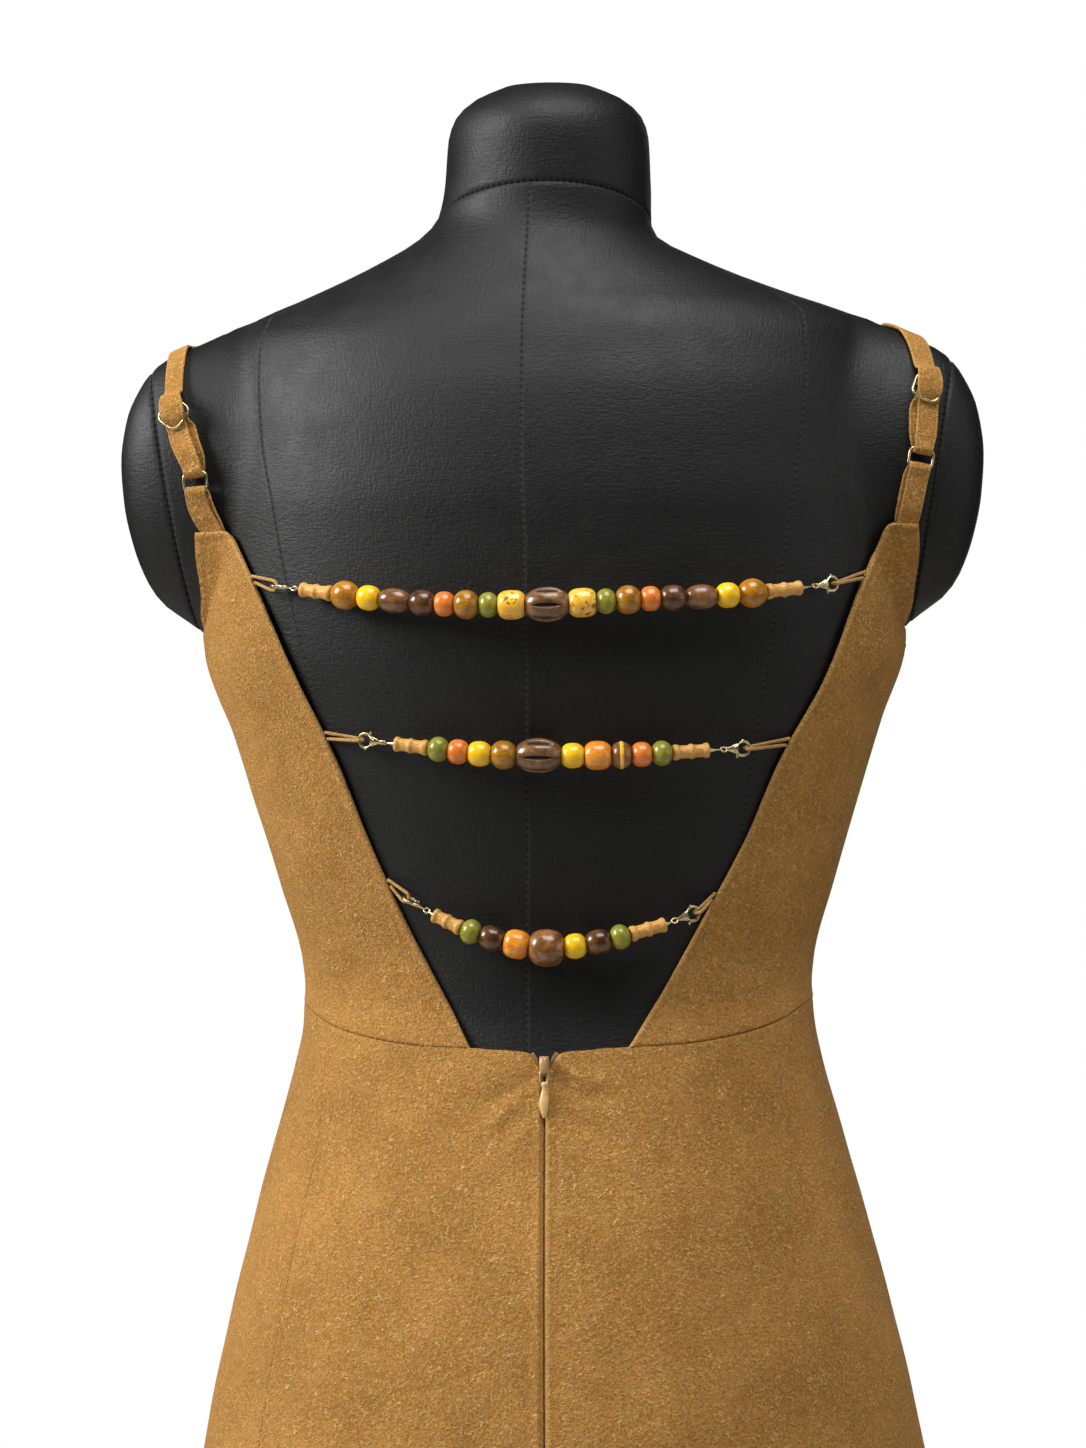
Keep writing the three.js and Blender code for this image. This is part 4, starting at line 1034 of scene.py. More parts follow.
@dataclass
class DressForm:
    """The limbless form: torso, neck and two arm caps under one coated linen cover."""

    levels: Sequence[float] = (
        752, 760, 775, 800, 850, 900, 950, 985, 1013, 1030, 1046, 1060, 1076, 1098, 1124, 1152,
        1180, 1204, 1217, 1224, 1229, 1237, 1248, 1262, 1279, 1297, 1315, 1331, 1343, 1351, 1358,
        1364, 1370, 1377, 1385, 1395, 1405, 1415, 1426, 1444, 1464, 1474, 1483, 1489,
    )
    row_step: float = 5.5
    between: Sequence[int] = (26, 28, 28, 22, 22, 28, 28, 26)
    close: Sequence[float] = (0.55, 1.3, 2.6)
    groove: float = 0.1
    cap_lean: float = 0.165
    neck_lean: float = -0.32
    neck_z: float = 1423
    top_z: float = 1492

    LIP = (3.0, 1.3, 0.15)  # rows beside a flat seam, and where the piece ends
    DRAWN_IN = 0.75  # how far the cover is drawn in at a flat seam
    LIP_RADIUS = 52  # of the caps, for the run of their stitches

    def seams(self) -> list[CoverSeam]:
        """The eight lines up the cover, from the centre back round by +X."""
        neck = ((1385, 108), (1395, 86), (1405, 66), (1415, 46), (1425, 37), (1440, 34), (1474, 30),
                (1483, 22), (1489, 13))
        low = ((750, 97), (900, 90), (1000, 77))
        right = (*low, (1046, 79), (1128, 91.6), (1192, 102.2), (1248, 111.3), (1300, 119.4),
                 (1350, 124.3), (1374, 122.8), *neck)
        left = (*low, (1046, 80), (1128, 97), (1212, 115.5), (1256, 125.4), (1284, 130.4),
                (1317, 136.5), (1355, 138.7), (1377, 134.5), *neck)
        bust = (*low, (1062, 78), (1128, 86), (1180, 93), (1260, 100), (1320, 108), (1377, 118), *neck)
        mirrored = lambda rows: tuple((z, -x) for z, x in rows)
        back = ((750, -9.5), (1044, -10.7), (1142, -9.1), (1264, -8.5), (1300, -9.6), (1364, -9.4),
                (1437, -7.2), (1489, -3))
        side = ((750, CoverSeam.SIDE), (1489, CoverSeam.SIDE))
        return [
            CoverSeam(back, False, 740, 1438), CoverSeam(right, False, 740, 1380),
            CoverSeam(side, False, 740, 1219), CoverSeam(bust, True, 740, 1380),
            CoverSeam(((750, 0.01), (1489, 0.01)), True, 740, 1400),
            CoverSeam(mirrored(bust), True, 740, 1380),
            CoverSeam(mirrored(side), False, 740, 1219), CoverSeam(mirrored(left), False, 740, 1380),
        ]

    def row(self, z: float, seams: Sequence[CoverSeam]) -> tuple[Array, Array, Array]:
        """One level of the cover.

        Args:
            z: the level's height.
            seams: the lines that columns follow.

        Returns:
            Angles, distances along the outline from the centre back, and seam marks.
        """
        begin = seams[0].angle(z)
        dense = np.linspace(begin, begin + 2 * math.pi, 2400)
        points = FORM.point(dense, np.full_like(dense, z))[:, :2]
        run = np.concatenate([[0], np.cumsum(np.linalg.norm(np.diff(points, axis=0), axis=1))])
        turns = [begin + (s.angle(z) - begin) % (2 * math.pi) for s in seams] + [begin + 2 * math.pi]
        marks = np.interp(turns, dense, run)
        places, shown = [], []
        for i, count in enumerate(self.between):
            first, last = marks[i], marks[i + 1]
            shrink = min(1.0, (last - first) / 14)
            near = [c * shrink for c in self.close]
            middle = np.linspace(first + near[-1], last - near[-1], count + 2)[1:-1]
            places += [first, *(first + n for n in near), *middle, *(last - n for n in reversed(near))]
            here, after = seams[i].strength(z), seams[(i + 1) % len(seams)].strength(z)
            fade = [0.35, 0.0, 0.0]
            shown += [here, *(f * here for f in fade), *([0.0] * count), *(f * after for f in reversed(fade))]
        return np.interp(places, run, dense), np.array(places), np.array(shown)

    def cover(self) -> Piece:
        """The whole cover as one closed mesh, before it is cut at its flat seams."""
        seams = self.seams()
        heights: list[float] = []
        for a, b in zip(self.levels, self.levels[1:]):
            steps = max(1, math.ceil((b - a) / self.row_step))
            heights += list(np.linspace(a, b, steps, endpoint=False))
        heights.append(self.levels[-1])
        grid, weave, seam, run = [], [], [], []
        for z in heights:
            angles, places, shown = self.row(z, seams)
            out = FORM.out(angles, np.full_like(angles, z))
            profile = -self.groove * shown + 0.05 * np.roll(shown, 2) + 0.05 * np.roll(shown, -2)
            grid.append(FORM.point(angles, np.full_like(angles, z)) + out * profile[:, None])
            total = places[-1] + self.close[0]
            across = np.where(places > total / 2, places - total, places)
            weave.append(np.stack([across * MM, np.full_like(across, z * MM), 0 * across], -1))
            seam.append(shown)
            run.append(np.full_like(across, z))
        base = grid[0]
        for inset, drop in ((0.997, 1.2), (0.985, 2.0), (0.9, 2.0), (0.5, 2.0)):
            ring = base * (inset, inset, 1) - (0, 0, drop)
            grid.insert(0, ring)
            weave.insert(0, weave[0])
            seam.insert(0, seam[0] * 0)
            run.insert(0, run[0])
        count, around = len(grid), len(grid[0])
        faces = grid_quads(count, around, True).tolist()
        points = np.concatenate(grid)
        low, high = len(points), len(points) + 1
        points = np.concatenate([points, [[0, 0, grid[0][0, 2]], [0, 0, self.top_z]]])
        last = (count - 1) * around
        for i in range(around):
            j = (i + 1) % around
            faces += [[low, j, i], [high, last + i, last + j]]
        pole = np.array([[0, 0.75, 0], [0, 1.49, 0]])
        return build_mesh(
            "form_cover", points, faces, weave=np.concatenate([*weave, pole]),
            seam=np.concatenate([*seam, [0, 0]]), run=np.concatenate([*run, [0, 0]]),
        )

    def planes(self) -> dict[str, tuple[Array, Array]]:
        """Point and outward direction of each flat seam."""
        lean = math.atan(self.cap_lean)
        caps = {}
        for side in Side:
            way = np.array([side.value * math.cos(lean), 0, -math.sin(lean)])
            caps[side.word] = (np.array([side.value * 185, 0, 1227 + 11 / self.cap_lean]), way)
        tilt = math.atan(self.neck_lean)
        caps["neck"] = (np.array([0, 0, self.neck_z]), np.array([0, -math.sin(tilt), math.cos(tilt)]))
        return caps

    def cut(self, source: Piece, name: str, cuts: Sequence[tuple[str, int]]) -> Piece:
        """A piece of the cover, cut at flat seams with its edges drawn in.

        Args:
            source: the whole cover.
            name: the piece's name.
            cuts: each seam, with 1 to keep what is past it and -1 for the rest.

        Returns:
            The closed piece.
        """
        made = copied(source, name)
        mesh = bmesh.new()
        mesh.from_mesh(made.data)
        mesh.normal_update()
        layers = {n: mesh.verts.layers.float[n] for n in ("seam", "run")}
        for key, keep in cuts:
            origin, way = self.planes()[key]
            way = way * keep
            flat = Vector(way)
            for offset in self.LIP:
                at = Vector((origin + way * offset) * MM)
                whole = [*mesh.verts, *mesh.edges, *mesh.faces]
                bmesh.ops.bisect_plane(mesh, geom=whole, plane_co=at, plane_no=flat,
                                       clear_inner=offset < 1, dist=1e-7)
            mesh.normal_update()
            start_at = Vector(origin * MM)
            for point in mesh.verts:
                past = (point.co - start_at).dot(flat) / MM
                if past < 3.2:
                    near = math.exp(-(((past - self.LIP[-1]) / 0.8) ** 2))
                    spoke = point.co - start_at
                    inward = point.normal - flat * point.normal.dot(flat)
                    point.co -= inward * self.DRAWN_IN * near * MM
                    point[layers["seam"]] = max(point[layers["seam"]], near)
                    turn = math.atan2(spoke.z if key != "neck" else spoke.x, spoke.y)
                    point[layers["run"]] = turn * self.LIP_RADIUS
            rim = [e for e in mesh.edges if e.is_boundary]
            bmesh.ops.holes_fill(mesh, edges=rim, sides=0)
        mesh.to_mesh(made.data)
        mesh.free()
        made.data.set_sharp_from_angle(angle=math.radians(50))
        return made

    def build(self) -> None:
        """Makes the four pieces."""
        whole = self.cover()
        parts = {
            "form_torso": [("neck", -1), ("left", -1), ("right", -1)],
            "form_neck": [("neck", 1)],
            "form_arm_cap_left": [("left", 1)],
            "form_arm_cap_right": [("right", 1)],
        }
        for node, cuts in parts.items():
            made = self.cut(whole, node.replace("form_", "cover_"), cuts)
            dress(made, COVER, nodes=[node])
        bpy.data.objects.remove(whole)


@dataclass
class Stand:
    """A steel pole on a round weighted base."""

    pole_radius: float = 14
    base_radius: float = 180
    base_height: float = 14
    form_bottom: float = 750

    def build(self) -> None:
        """Turns the pole and the base."""
        low, high, r = self.base_height + 0.3, self.form_bottom - 2.4, self.pole_radius
        pole = turned("pole", ((low, r + 3), (low + 9, r + 3), (low + 11, r + 0.5), (low + 11.2, r - 0.6),
                               (380, r - 0.6), (381, r + 1.4), (398, r + 1.4), (399, r - 0.6),
                               (high - 12, r - 0.6), (high - 11.5, r), (high - 0.5, r), (high, r - 0.6)), 64)
        dress(pole, STEEL, nodes=["stand_pole"])
        rim = self.base_radius
        base = turned("base", ((0, rim - 3), (0.6, rim - 1.2), (2, rim), (7, rim), (8.6, rim - 1.4),
                               (9.5, rim - 4), (11, rim - 60), (12.6, rim - 110), (13.6, r + 34),
                               (13.9, r + 18), (self.base_height, r + 8)), 128)
        dress(base, STEEL, nodes=["stand_base"])


# ---- the cloth


class Edge(Enum):
    """How an edge of a panel is made: the height of the cloth against distance from it.

    Each bump is height, place and width in millimetres.
    """

    SEAM = ((-0.1, 0.0, 0.6), (0.16, 2.2, 1.4))
    TURNED = ((-0.4, 0.0, 0.7), (0.42, 1.9, 1.2), (-0.16, 6.0, 1.0))
    TOP = ((0.1, 0.0, 0.9), (0.5, 2.1, 1.4), (-0.28, 5.6, 1.1))
    HEM = ((-0.3, 0.0, 0.8), (0.3, 2.0, 1.5), (-0.3, 28.0, 1.4))
    ZIP = ((-1.35, 0.0, 1.15), (0.34, 3.2, 1.5), (-0.14, 9.0, 1.6))

    def height(self, distance: Array) -> Array:
        """Height of the cloth at distances from the edge."""
        return sum(h * np.exp(-(((distance - at) / wide) ** 2)) for h, at, wide in self.value)


@dataclass(frozen=True)
class Crease:
    """A soft crease from one place to another, by girth from the centre back and height."""

    start: tuple[float, float]
    end: tuple[float, float]
    depth: float
    width: float

    GIRTH = 110.0

    def height(self, angle: Array, z: Array) -> Array:
        """Height that the crease gives the cloth: a trough with a low ridge beside it."""
        girth = ((angle - BACK + math.pi) % (2 * math.pi) - math.pi) * self.GIRTH
        a, b = np.array(self.start), np.array(self.end)
        line = b - a
        length = float(np.linalg.norm(line))
        way = line / length
        gx, gz = girth - a[0], z - a[1]
        along = (gx * way[0] + gz * way[1]) / length
        off = gx * -way[1] + gz * way[0] + 0.12 * self.width * np.sin(along * 7 + self.start[0])
        fade = smooth(along, -0.15, 0.3) * (1 - smooth(along, 0.55, 1.15))
        uneven = 1 + 0.3 * np.sin(along * 9 + self.end[0])
        wide = self.width * (0.75 + 0.5 * np.clip(along, 0, 1))
        trough = np.exp(-((off / wide) ** 2))
        ridge = 0.45 * np.exp(-(((off - 1.7 * wide) / (1.1 * wide)) ** 2))
        return -self.depth * fade * uneven * (trough - ridge)


def creases(rows: Table) -> list[Crease]:
    """Creases from a table."""
    return [Crease((x0, z0), (x1, z1), deep, wide) for x0, z0, x1, z1, deep, wide in rows]


BODICE_CREASES = creases((  # start and end as girth and height, then depth and width
    (-150, 1052, -92, 1062, 0.7, 7), (150, 1054, 96, 1068, 0.7, 7), (-160, 1092, -112, 1100, 0.5, 8),
    (158, 1090, 118, 1104, 0.5, 8), (-176, 1188, -150, 1150, 0.5, 9), (176, 1186, 152, 1148, 0.5, 9),
    (186, 1196, 236, 1186, 0.9, 9), (-186, 1196, -236, 1188, 0.9, 9), (200, 1060, 262, 1072, 0.8, 8),
    (-200, 1060, -262, 1074, 0.8, 8), (250, 1094, 300, 1150, 0.6, 12), (-250, 1096, -300, 1152, 0.6, 12),
))
SKIRT_CREASES = creases((  # start and end as girth and height, then depth and width
    (-7, 1012, -42, 997, 1.2, 4.5), (6, 1010, 40, 997, 1.3, 4.5), (6, 998, 36, 978, 0.8, 4),
    (-8, 1000, -34, 978, 0.7, 4), (-96, 1016, -62, 992, 0.5, 7), (100, 1018, 66, 994, 0.5, 7),
    (-132, 1020, -104, 976, 0.6, 9), (134, 1020, 108, 974, 0.6, 9), (-58, 940, -74, 780, 1.3, 13),
    (70, 930, 92, 760, 1.3, 14), (-120, 900, -140, 640, 1.6, 16), (30, 900, 40, 700, 0.9, 12),
    (-24, 880, -30, 660, 0.9, 12), (130, 880, 150, 620, 1.6, 16), (-190, 1020, -214, 960, 0.7, 9),
    (190, 1020, 216, 958, 0.7, 9), (-240, 930, -262, 700, 1.5, 16), (240, 920, 258, 690, 1.5, 16),
    (-300, 1010, -292, 930, 0.6, 10), (302, 1012, 290, 930, 0.6, 10), (-310, 880, -318, 640, 1.2, 15),
    (312, 890, 322, 660, 1.2, 15),
))


BACK_EDGE = {  # z, distance of the open back's edge from the middle
    Side.LEFT: Curve(((1025, 37), (1048, 49), (1085, 68), (1124, 85), (1162, 99.4), (1200, 117.2),
                      (1238, 134), (1262, 145.4), (1269, 149), (1271.4, 150.8),
                      (1272.5, 153))),
    Side.RIGHT: Curve(((1025, 36.4), (1048, 51.2), (1085, 72), (1122, 92), (1160, 108.6), (1198, 129.6),
                       (1236, 144.4), (1262, 155), (1269, 158.2), (1271.4, 160),
                       (1272.5, 162.4))),
}


@dataclass
class Panel:
    """A panel of the dress, cut flat and worn as a thin wall.

    The edges are the first and last columns and the lowest and highest rows.
    """

    name: str
    surface: Surface
    first: Callable[[Array], Array]  # angle of the first column at a height
    last: Callable[[Array], Array]
    low: Callable[[Array], Array]  # height of the lowest row at an angle
    high: Callable[[Array], Array]
    columns: int
    rows: int
    edges: tuple[Edge, Edge, Edge, Edge]
    creases: Sequence[Crease]
    flat: tuple[float, float]
    area: float
    rests_on: Sequence[str]
    skew: float = 0.0
    seed: int = 1

    WAIST_BLEND = 18  # height over which the bodice comes out to the skirt
    SEWN_INSET, LOOSE_INSET = 0.02, 0.4

    def distance(self, z: Array) -> Array | float:
        """How far the outer face lies out from the panel's surface."""
        return FORM_GAP(z) + WALL if self.surface is CLOTH else 0.0

    def grid(self) -> tuple[Array, Array]:
        """Angle and height at each crossing of the panel's rows and columns."""
        share = clustered(self.columns)[None, :]
        share = share - self.skew * np.sin(2 * math.pi * share)
        rise = clustered(self.rows, 0.55)[:, None]
        z = np.full((len(rise), share.shape[1]), 1028.0)
        angle = self.first(z) + (self.last(z) - self.first(z)) * share
        for _ in range(6):
            low, high = self.low(angle), self.high(angle)
            z = low + (high - low) * rise
            angle = self.first(z) + (self.last(z) - self.first(z)) * share
        return angle, z

    def build(self) -> Piece:
        """Makes the panel, dresses it and logs the size it lies flat in."""
        angle, z = self.grid()
        out = self.surface.out(angle, z)
        points = self.surface.at(angle, z, self.distance(z))
        if self.surface is CLOTH:
            # the bodice comes out to the skirt where the two are sewn together
            near_waist = 1 - smooth(z - z[0], 0, self.WAIST_BLEND)
            reach = np.linalg.norm(points[..., :2], axis=-1)
            radial = points * (1, 1, 0) / reach[..., None]
            level = unit(out * (1, 1, 0))
            step = near_waist * (SKIRT.radius(angle, z) - reach) * (radial * level).sum(-1)
            points = points + level * step[..., None]
            points[..., 2] += near_waist * (z[0] - points[0, :, 2])
        across = np.linalg.norm(np.diff(points, axis=1), axis=-1)
        up = np.linalg.norm(np.diff(points, axis=0), axis=-1)
        run = np.concatenate([np.zeros((len(z), 1)), np.cumsum(across, 1)], 1)
        rise = np.concatenate([np.zeros((1, z.shape[1])), np.cumsum(up, 0)], 0)
        away = (run, run[:, -1:] - run, rise, rise[-1:] - rise)
        height = sum(edge.height(d) for edge, d in zip(self.edges, away))
        loose = [d for edge, d in zip(self.edges, away) if edge is not Edge.SEAM]
        near = np.minimum.reduce(loose or [run * 0 + 99])
        inside = smooth(np.minimum.reduce(away), 1.0, 14.0)
        for crease in self.creases:
            height = height + crease.height(angle, z) * inside
        soft = 0.22 * ripple(points, 34, self.seed) + 0.3 * ripple(points, 90, self.seed + 7)
        height = height + inside * soft
        # a turned edge is never quite straight
        height = height + np.exp(-near / 4) * 0.14 * ripple(points, 15, self.seed + 3)
        worn = np.exp(-near / 1.3)
        insets = [self.SEWN_INSET if edge is Edge.SEAM else self.LOOSE_INSET for edge in self.edges]
        made = cloth_shell(self.name, points + out * height[..., None], out, worn, insets)
        made.data.set_sharp_from_angle(angle=math.radians(80))
        measured = (run[:, -1].max(), rise[-1].max())
        log.info("%s lies flat in %.0f x %.0f mm", self.name, *measured)
        dress(made, SUEDE, nodes=[self.name.replace("panel_", "")])
        return made


@dataclass
class Dress:
    """The six panels of the dress."""

    strap_top_z: float = 1272.5
    seam_turn: float = SEWN_GAP / 2 / 150

    ARMHOLE = {
        Side.LEFT: Curve(((1216, 0), (1222, 3.5), (1231, 7.6), (1245, 11.8), (1258, 13.6), (1272.5, 15))),
        Side.RIGHT: Curve(((1216, 0), (1222, 3.2), (1231, 7), (1245, 10.6), (1258, 12.4), (1272.5, 13.9))),
    }
    NECKLINE = Curve(
        (  # share of the way from the side seam to the centre front, z
            (0, 1216), (0.07, 1218), (0.17, 1236), (0.25, 1270), (0.305, 1295), (0.375, 1296),
            (0.42, 1290), (0.55, 1277), (0.75, 1268), (1, 1264),
        )
    )
    SKIRT_SEAM = Curve(((900, 30), (970, 29), (1002, 25.5), (1035, 17)))  # z, degrees behind the side

    def back_bodice(self, side: Side) -> Panel:
        """A back panel, from the open back to the side seam and up to the strap."""
        def inner(z: Array) -> Array:
            return FORM.angle_at(side.value * BACK_EDGE[side](z), z)

        def outer(z: Array) -> Array:
            behind = np.radians(self.ARMHOLE[side](z)) + self.seam_turn
            return -behind if side is Side.RIGHT else behind - math.pi

        return Panel(
            f"panel_bodice_back_{side.word}", CLOTH, inner, outer,
            lambda a: seam_height(a) + SEWN_GAP / 2, lambda a: a * 0 + self.strap_top_z,
            70, 110, (Edge.TURNED, Edge.SEAM, Edge.SEAM, Edge.TOP), BODICE_CREASES,
            (0.150, 0.280), 0.021, ["cover_torso", f"strap_tab_{side.word}"], seed=11 + side.value,
        )

    def front_bodice(self) -> Panel:
        """The front, from side seam to side seam under a plain neckline."""
        return Panel(
            "panel_bodice_front", CLOTH, lambda z: z * 0 + self.seam_turn,
            lambda z: z * 0 + math.pi - self.seam_turn,
            lambda a: seam_height(a) + SEWN_GAP / 2,
            lambda a: self.NECKLINE(1 - np.abs(a - FRONT) / FRONT),
            150, 84, (Edge.SEAM, Edge.SEAM, Edge.SEAM, Edge.TURNED), BODICE_CREASES,
            (0.450, 0.262), 0.096, ["cover_torso"], skew=0.03, seed=21,
        )

    def skirt(self) -> list[Panel]:
        """The front and the two back panels."""
        half = SEWN_GAP / 2 / 140
        zip_half = SEAM_GAP / 2 / 90
        seam = lambda z: np.radians(self.SKIRT_SEAM(z))
        middle = lambda z: SKIRT.angle_at(z * 0 + CENTRE_BACK_X, z)
        low = lambda a: a * 0 + SKIRT.HEM_Z
        high = lambda a: seam_height(a) - SEWN_GAP / 2
        front = Panel(
            "panel_skirt_front", SKIRT, lambda z: -seam(z) + half, lambda z: math.pi + seam(z) - half,
            low, high, 170, 130, (Edge.SEAM, Edge.SEAM, Edge.HEM, Edge.SEAM), SKIRT_CREASES,
            (0.860, 0.520), 0.339, ["panel_bodice_front"], skew=0.04, seed=31,
        )
        left = Panel(
            "panel_skirt_back_left", SKIRT, lambda z: seam(z) - math.pi + half,
            lambda z: middle(z) - zip_half, low, high, 90, 150,
            (Edge.SEAM, Edge.ZIP, Edge.HEM, Edge.SEAM), SKIRT_CREASES,
            (0.200, 0.512), 0.079, ["panel_bodice_back_left"], skew=0.02, seed=41,
        )
        right = Panel(
            "panel_skirt_back_right", SKIRT, lambda z: middle(z) + zip_half, lambda z: -seam(z) - half,
            low, high, 90, 150, (Edge.ZIP, Edge.SEAM, Edge.HEM, Edge.SEAM), SKIRT_CREASES,
            (0.208, 0.513), 0.082, ["panel_bodice_back_right"], skew=0.02, seed=51,
        )
        return [front, left, right]

    def build(self) -> None:
        """Makes all six panels."""
        panels = [self.back_bodice(side) for side in Side] + [self.front_bodice(), *self.skirt()]
        for panel in panels:
            panel.build()


# ---- the straps


@dataclass
class Strap:
    """A shoulder strap with its slider and ring, and the tab that holds the ring."""

    side: Side
    width: float = 10.5
    thick: float = 1.6
    tab_end: float = -31.5
    strap_cut: float = 0.255  # metres
    tab_cut: float = 0.051
    front_end: float = 182.2
    front_height: float = 1.7
    over: float = 5.0
    under: float = 1.9
    ring_top: float = 0.5  # degrees
    ring_width: float = 11.9
    ring_length: float = 9.6
    loop_height: float = 3.8
    loop_radius: float = 2.15
    degree: float = 0.86  # millimetres of strap for one degree round the shoulder
    slider_at: float = 32.0
    slider_height: float = 6.6
    slider_aside: float = 0.1  # towards the middle
    slider_spin: float = 0.72
    narrowed: float = 0.1  # share by which the strap is narrower above the slider
    wire: float = 0.7
    peep: float = 2.8  # how far the folded-back layer shows towards the middle

    SHOULDER_Z = 1300
    SLIDER_LOOP = (13.2, 12.8)  # between the middles of its wire, across and along
    ROUTE = {  # degrees round the shoulder, distance from the middle
        Side.LEFT: Curve(((-32, 160), (-16, 167.4), (0, 168.8), (20, 175.6), (36, 178.6), (56, 180.6),
                          (90, 180), (118, 169), (150, 144), (182, 122.5))),
        Side.RIGHT: Curve(((-32, 171), (-16, 174.4), (0, 177), (20, 180), (36, 181), (56, 180),
                           (90, 169.5), (118, 156), (150, 138), (182, 122.5))),
    }

    def over_form(self, degrees: Array, distance: Array | float) -> tuple[Array, Array]:
        """Points over the shoulder and the way out at them.

        Args:
            degrees: turn round the shoulder, from level behind to level in front.
            distance: height over the form.

        Returns:
            Points, and unit vectors.
        """
        degrees = np.asarray(degrees, float)
        x = self.side.value * self.ROUTE[self.side](degrees)
        # the strap is drawn tight over the shoulder, and spans the corner behind the arm
        ease = 24 + 18 * smooth(degrees, -14, 12) * (1 - smooth(degrees, 46, 76))
        under = FormSurface(ease)
        up, forward = np.sin(np.radians(degrees)), -np.cos(np.radians(degrees))
        inside, outside = np.zeros_like(degrees), np.full_like(degrees, 140.0)
        for _ in range(40):
            t = (inside + outside) / 2
            y, z = t * forward, self.SHOULDER_Z + t * up
            within = np.hypot(x, y) < under.radius(np.arctan2(y, x), z)
            inside, outside = np.where(within, t, inside), np.where(within, outside, t)
        point = np.stack([x, inside * forward, self.SHOULDER_Z + inside * up], -1)
        out = under.out(np.arctan2(point[..., 1], point[..., 0]), point[..., 2])
        return point + out * np.asarray(distance, float)[..., None], out

    def stations(self, degrees: Array, distance: Array) -> tuple[Array, Array, Array]:
        """Points, ways across and ways out along the strap."""
        point, out = self.over_form(degrees, distance)
        before, _ = self.over_form(degrees - 3, distance)
        after, _ = self.over_form(degrees + 3, distance)
        return point, unit(np.cross(after - before, out)), out

    def around_bar(self, bar: float, way: int) -> Rows:
        """The half turn round a bar of the ring, from the outer layer to the inner."""
        turns = np.radians(np.arange(90, -91, -22.5))
        return [(bar + way * self.loop_radius * math.cos(t) / self.degree,
                 self.loop_height + self.loop_radius * math.sin(t), 0.0) for t in turns]

    def strap_rows(self) -> Rows:
        """Degrees, height and shift towards the middle along the strap."""
        rows = [(d, self.front_height, 0.0) for d in np.arange(self.front_end, 66, -7.6)]
        # over the slider's top wire and bar, then under its lower wire
        hump = ((18, 1.9), (13.6, 2.4), (10.6, 3.9), (9, 6.4), (7.5, 8.6), (4, 9.2), (1.2, 9.0), (-1.4, 8.3),
                (-3.4, 7.0), (-5.2, 5.4), (-6.9, 4.6), (-9.5, 4.7))
        rows += [(self.slider_at + s / self.degree, h, 0.0) for s, h in hump]
        gap = self.slider_at - 10 - self.ring_top
        rows += [(self.ring_top + gap * s, h, 0.0) for s, h in ((0.6, self.over), (0.33, 5.2), (0.13, 5.4))]
        rows += self.around_bar(self.ring_top, -1)
        p, u = self.peep, self.under
        back = ((0.16, 1.75, 0.35), (0.4, u, 0.8), (0.66, u, 1.0), (0.9, u, 1.15), (1.1, u + 0.3, 1.0))
        rows += [(self.ring_top + gap * s, h, p * w) for s, h, w in back]
        under_wire = ((-7, 2.9, 0.7), (-3.5, 3.9, 0.3), (-1, 4.5, 0))
        rows += [(self.slider_at + d, h, p * w) for d, h, w in under_wire]
        return rows

    def tab_rows(self) -> Rows:
        """The same along the tab."""
        bottom = self.ring_top - self.ring_length / self.degree
        end = self.tab_end
        rows = [(end, 2.9, 0), (end + 3.2, 3.2, 0), (end + 7.5, 4.1, 0), (bottom - 4.5, 5.0, 0)]
        rows += self.around_bar(bottom, 1)
        p = self.peep * 0.5
        return rows + [(bottom - 5, 2, p), (end + 8, 1.7, p), (end, 1.4, p * 0.6)]

    def section(self) -> tuple[Array, Array]:
        """Half of the strap's outline from edge to edge, with a stitch groove near each edge."""
        half, t = self.width / 2, self.thick / 2
        across = np.array([1, 0.985, 0.945, 0.88, 0.8, 0.73, 0.66, 0.5, 0.25, 0]) * half
        height = np.array([0, 0.5, 0.84, 1.0, 0.98, 0.78, 0.98, 1.04, 1.08, 1.1]) * t
        across = np.concatenate([across, -across[-2::-1]])
        height = np.concatenate([height, height[-2::-1]])
        return across, height

    def ribbon(self, name: str, rows: Sequence[tuple[float, float, float]], count: int) -> Piece:
        """A strap or tab through its rows.

        Args:
            name: the piece's name.
            rows: degrees, height and shift towards the middle.
            count: stations along it.

        Returns:
            The closed ribbon.
        """
        table = np.array(rows, float)
        path = Path(table * (self.degree, 1, 1))
        line = path.at(np.linspace(0, 1, count))
        degrees, height, shift = line[:, 0] / self.degree, line[:, 1], line[:, 2]
        point, across, _ = self.stations(degrees, height)
        point = point - across * (self.side.value * shift)[:, None]
        ahead = unit(np.gradient(point, axis=0))
        side = unit(across - ahead * (across * ahead).sum(-1, keepdims=True))
        up = np.cross(side, ahead)
        wide, high = self.section()
        wide = np.concatenate([wide, wide[-2:0:-1]])
        high = np.concatenate([high, -high[-2:0:-1]])
        run = np.linspace(0, path.length, count)
        # soft dents where the strap has been bent and pulled
        soft = 1 + 0.05 * np.sin(run / 5.3) + 0.05 * np.sin(run / 2.9 + 1)
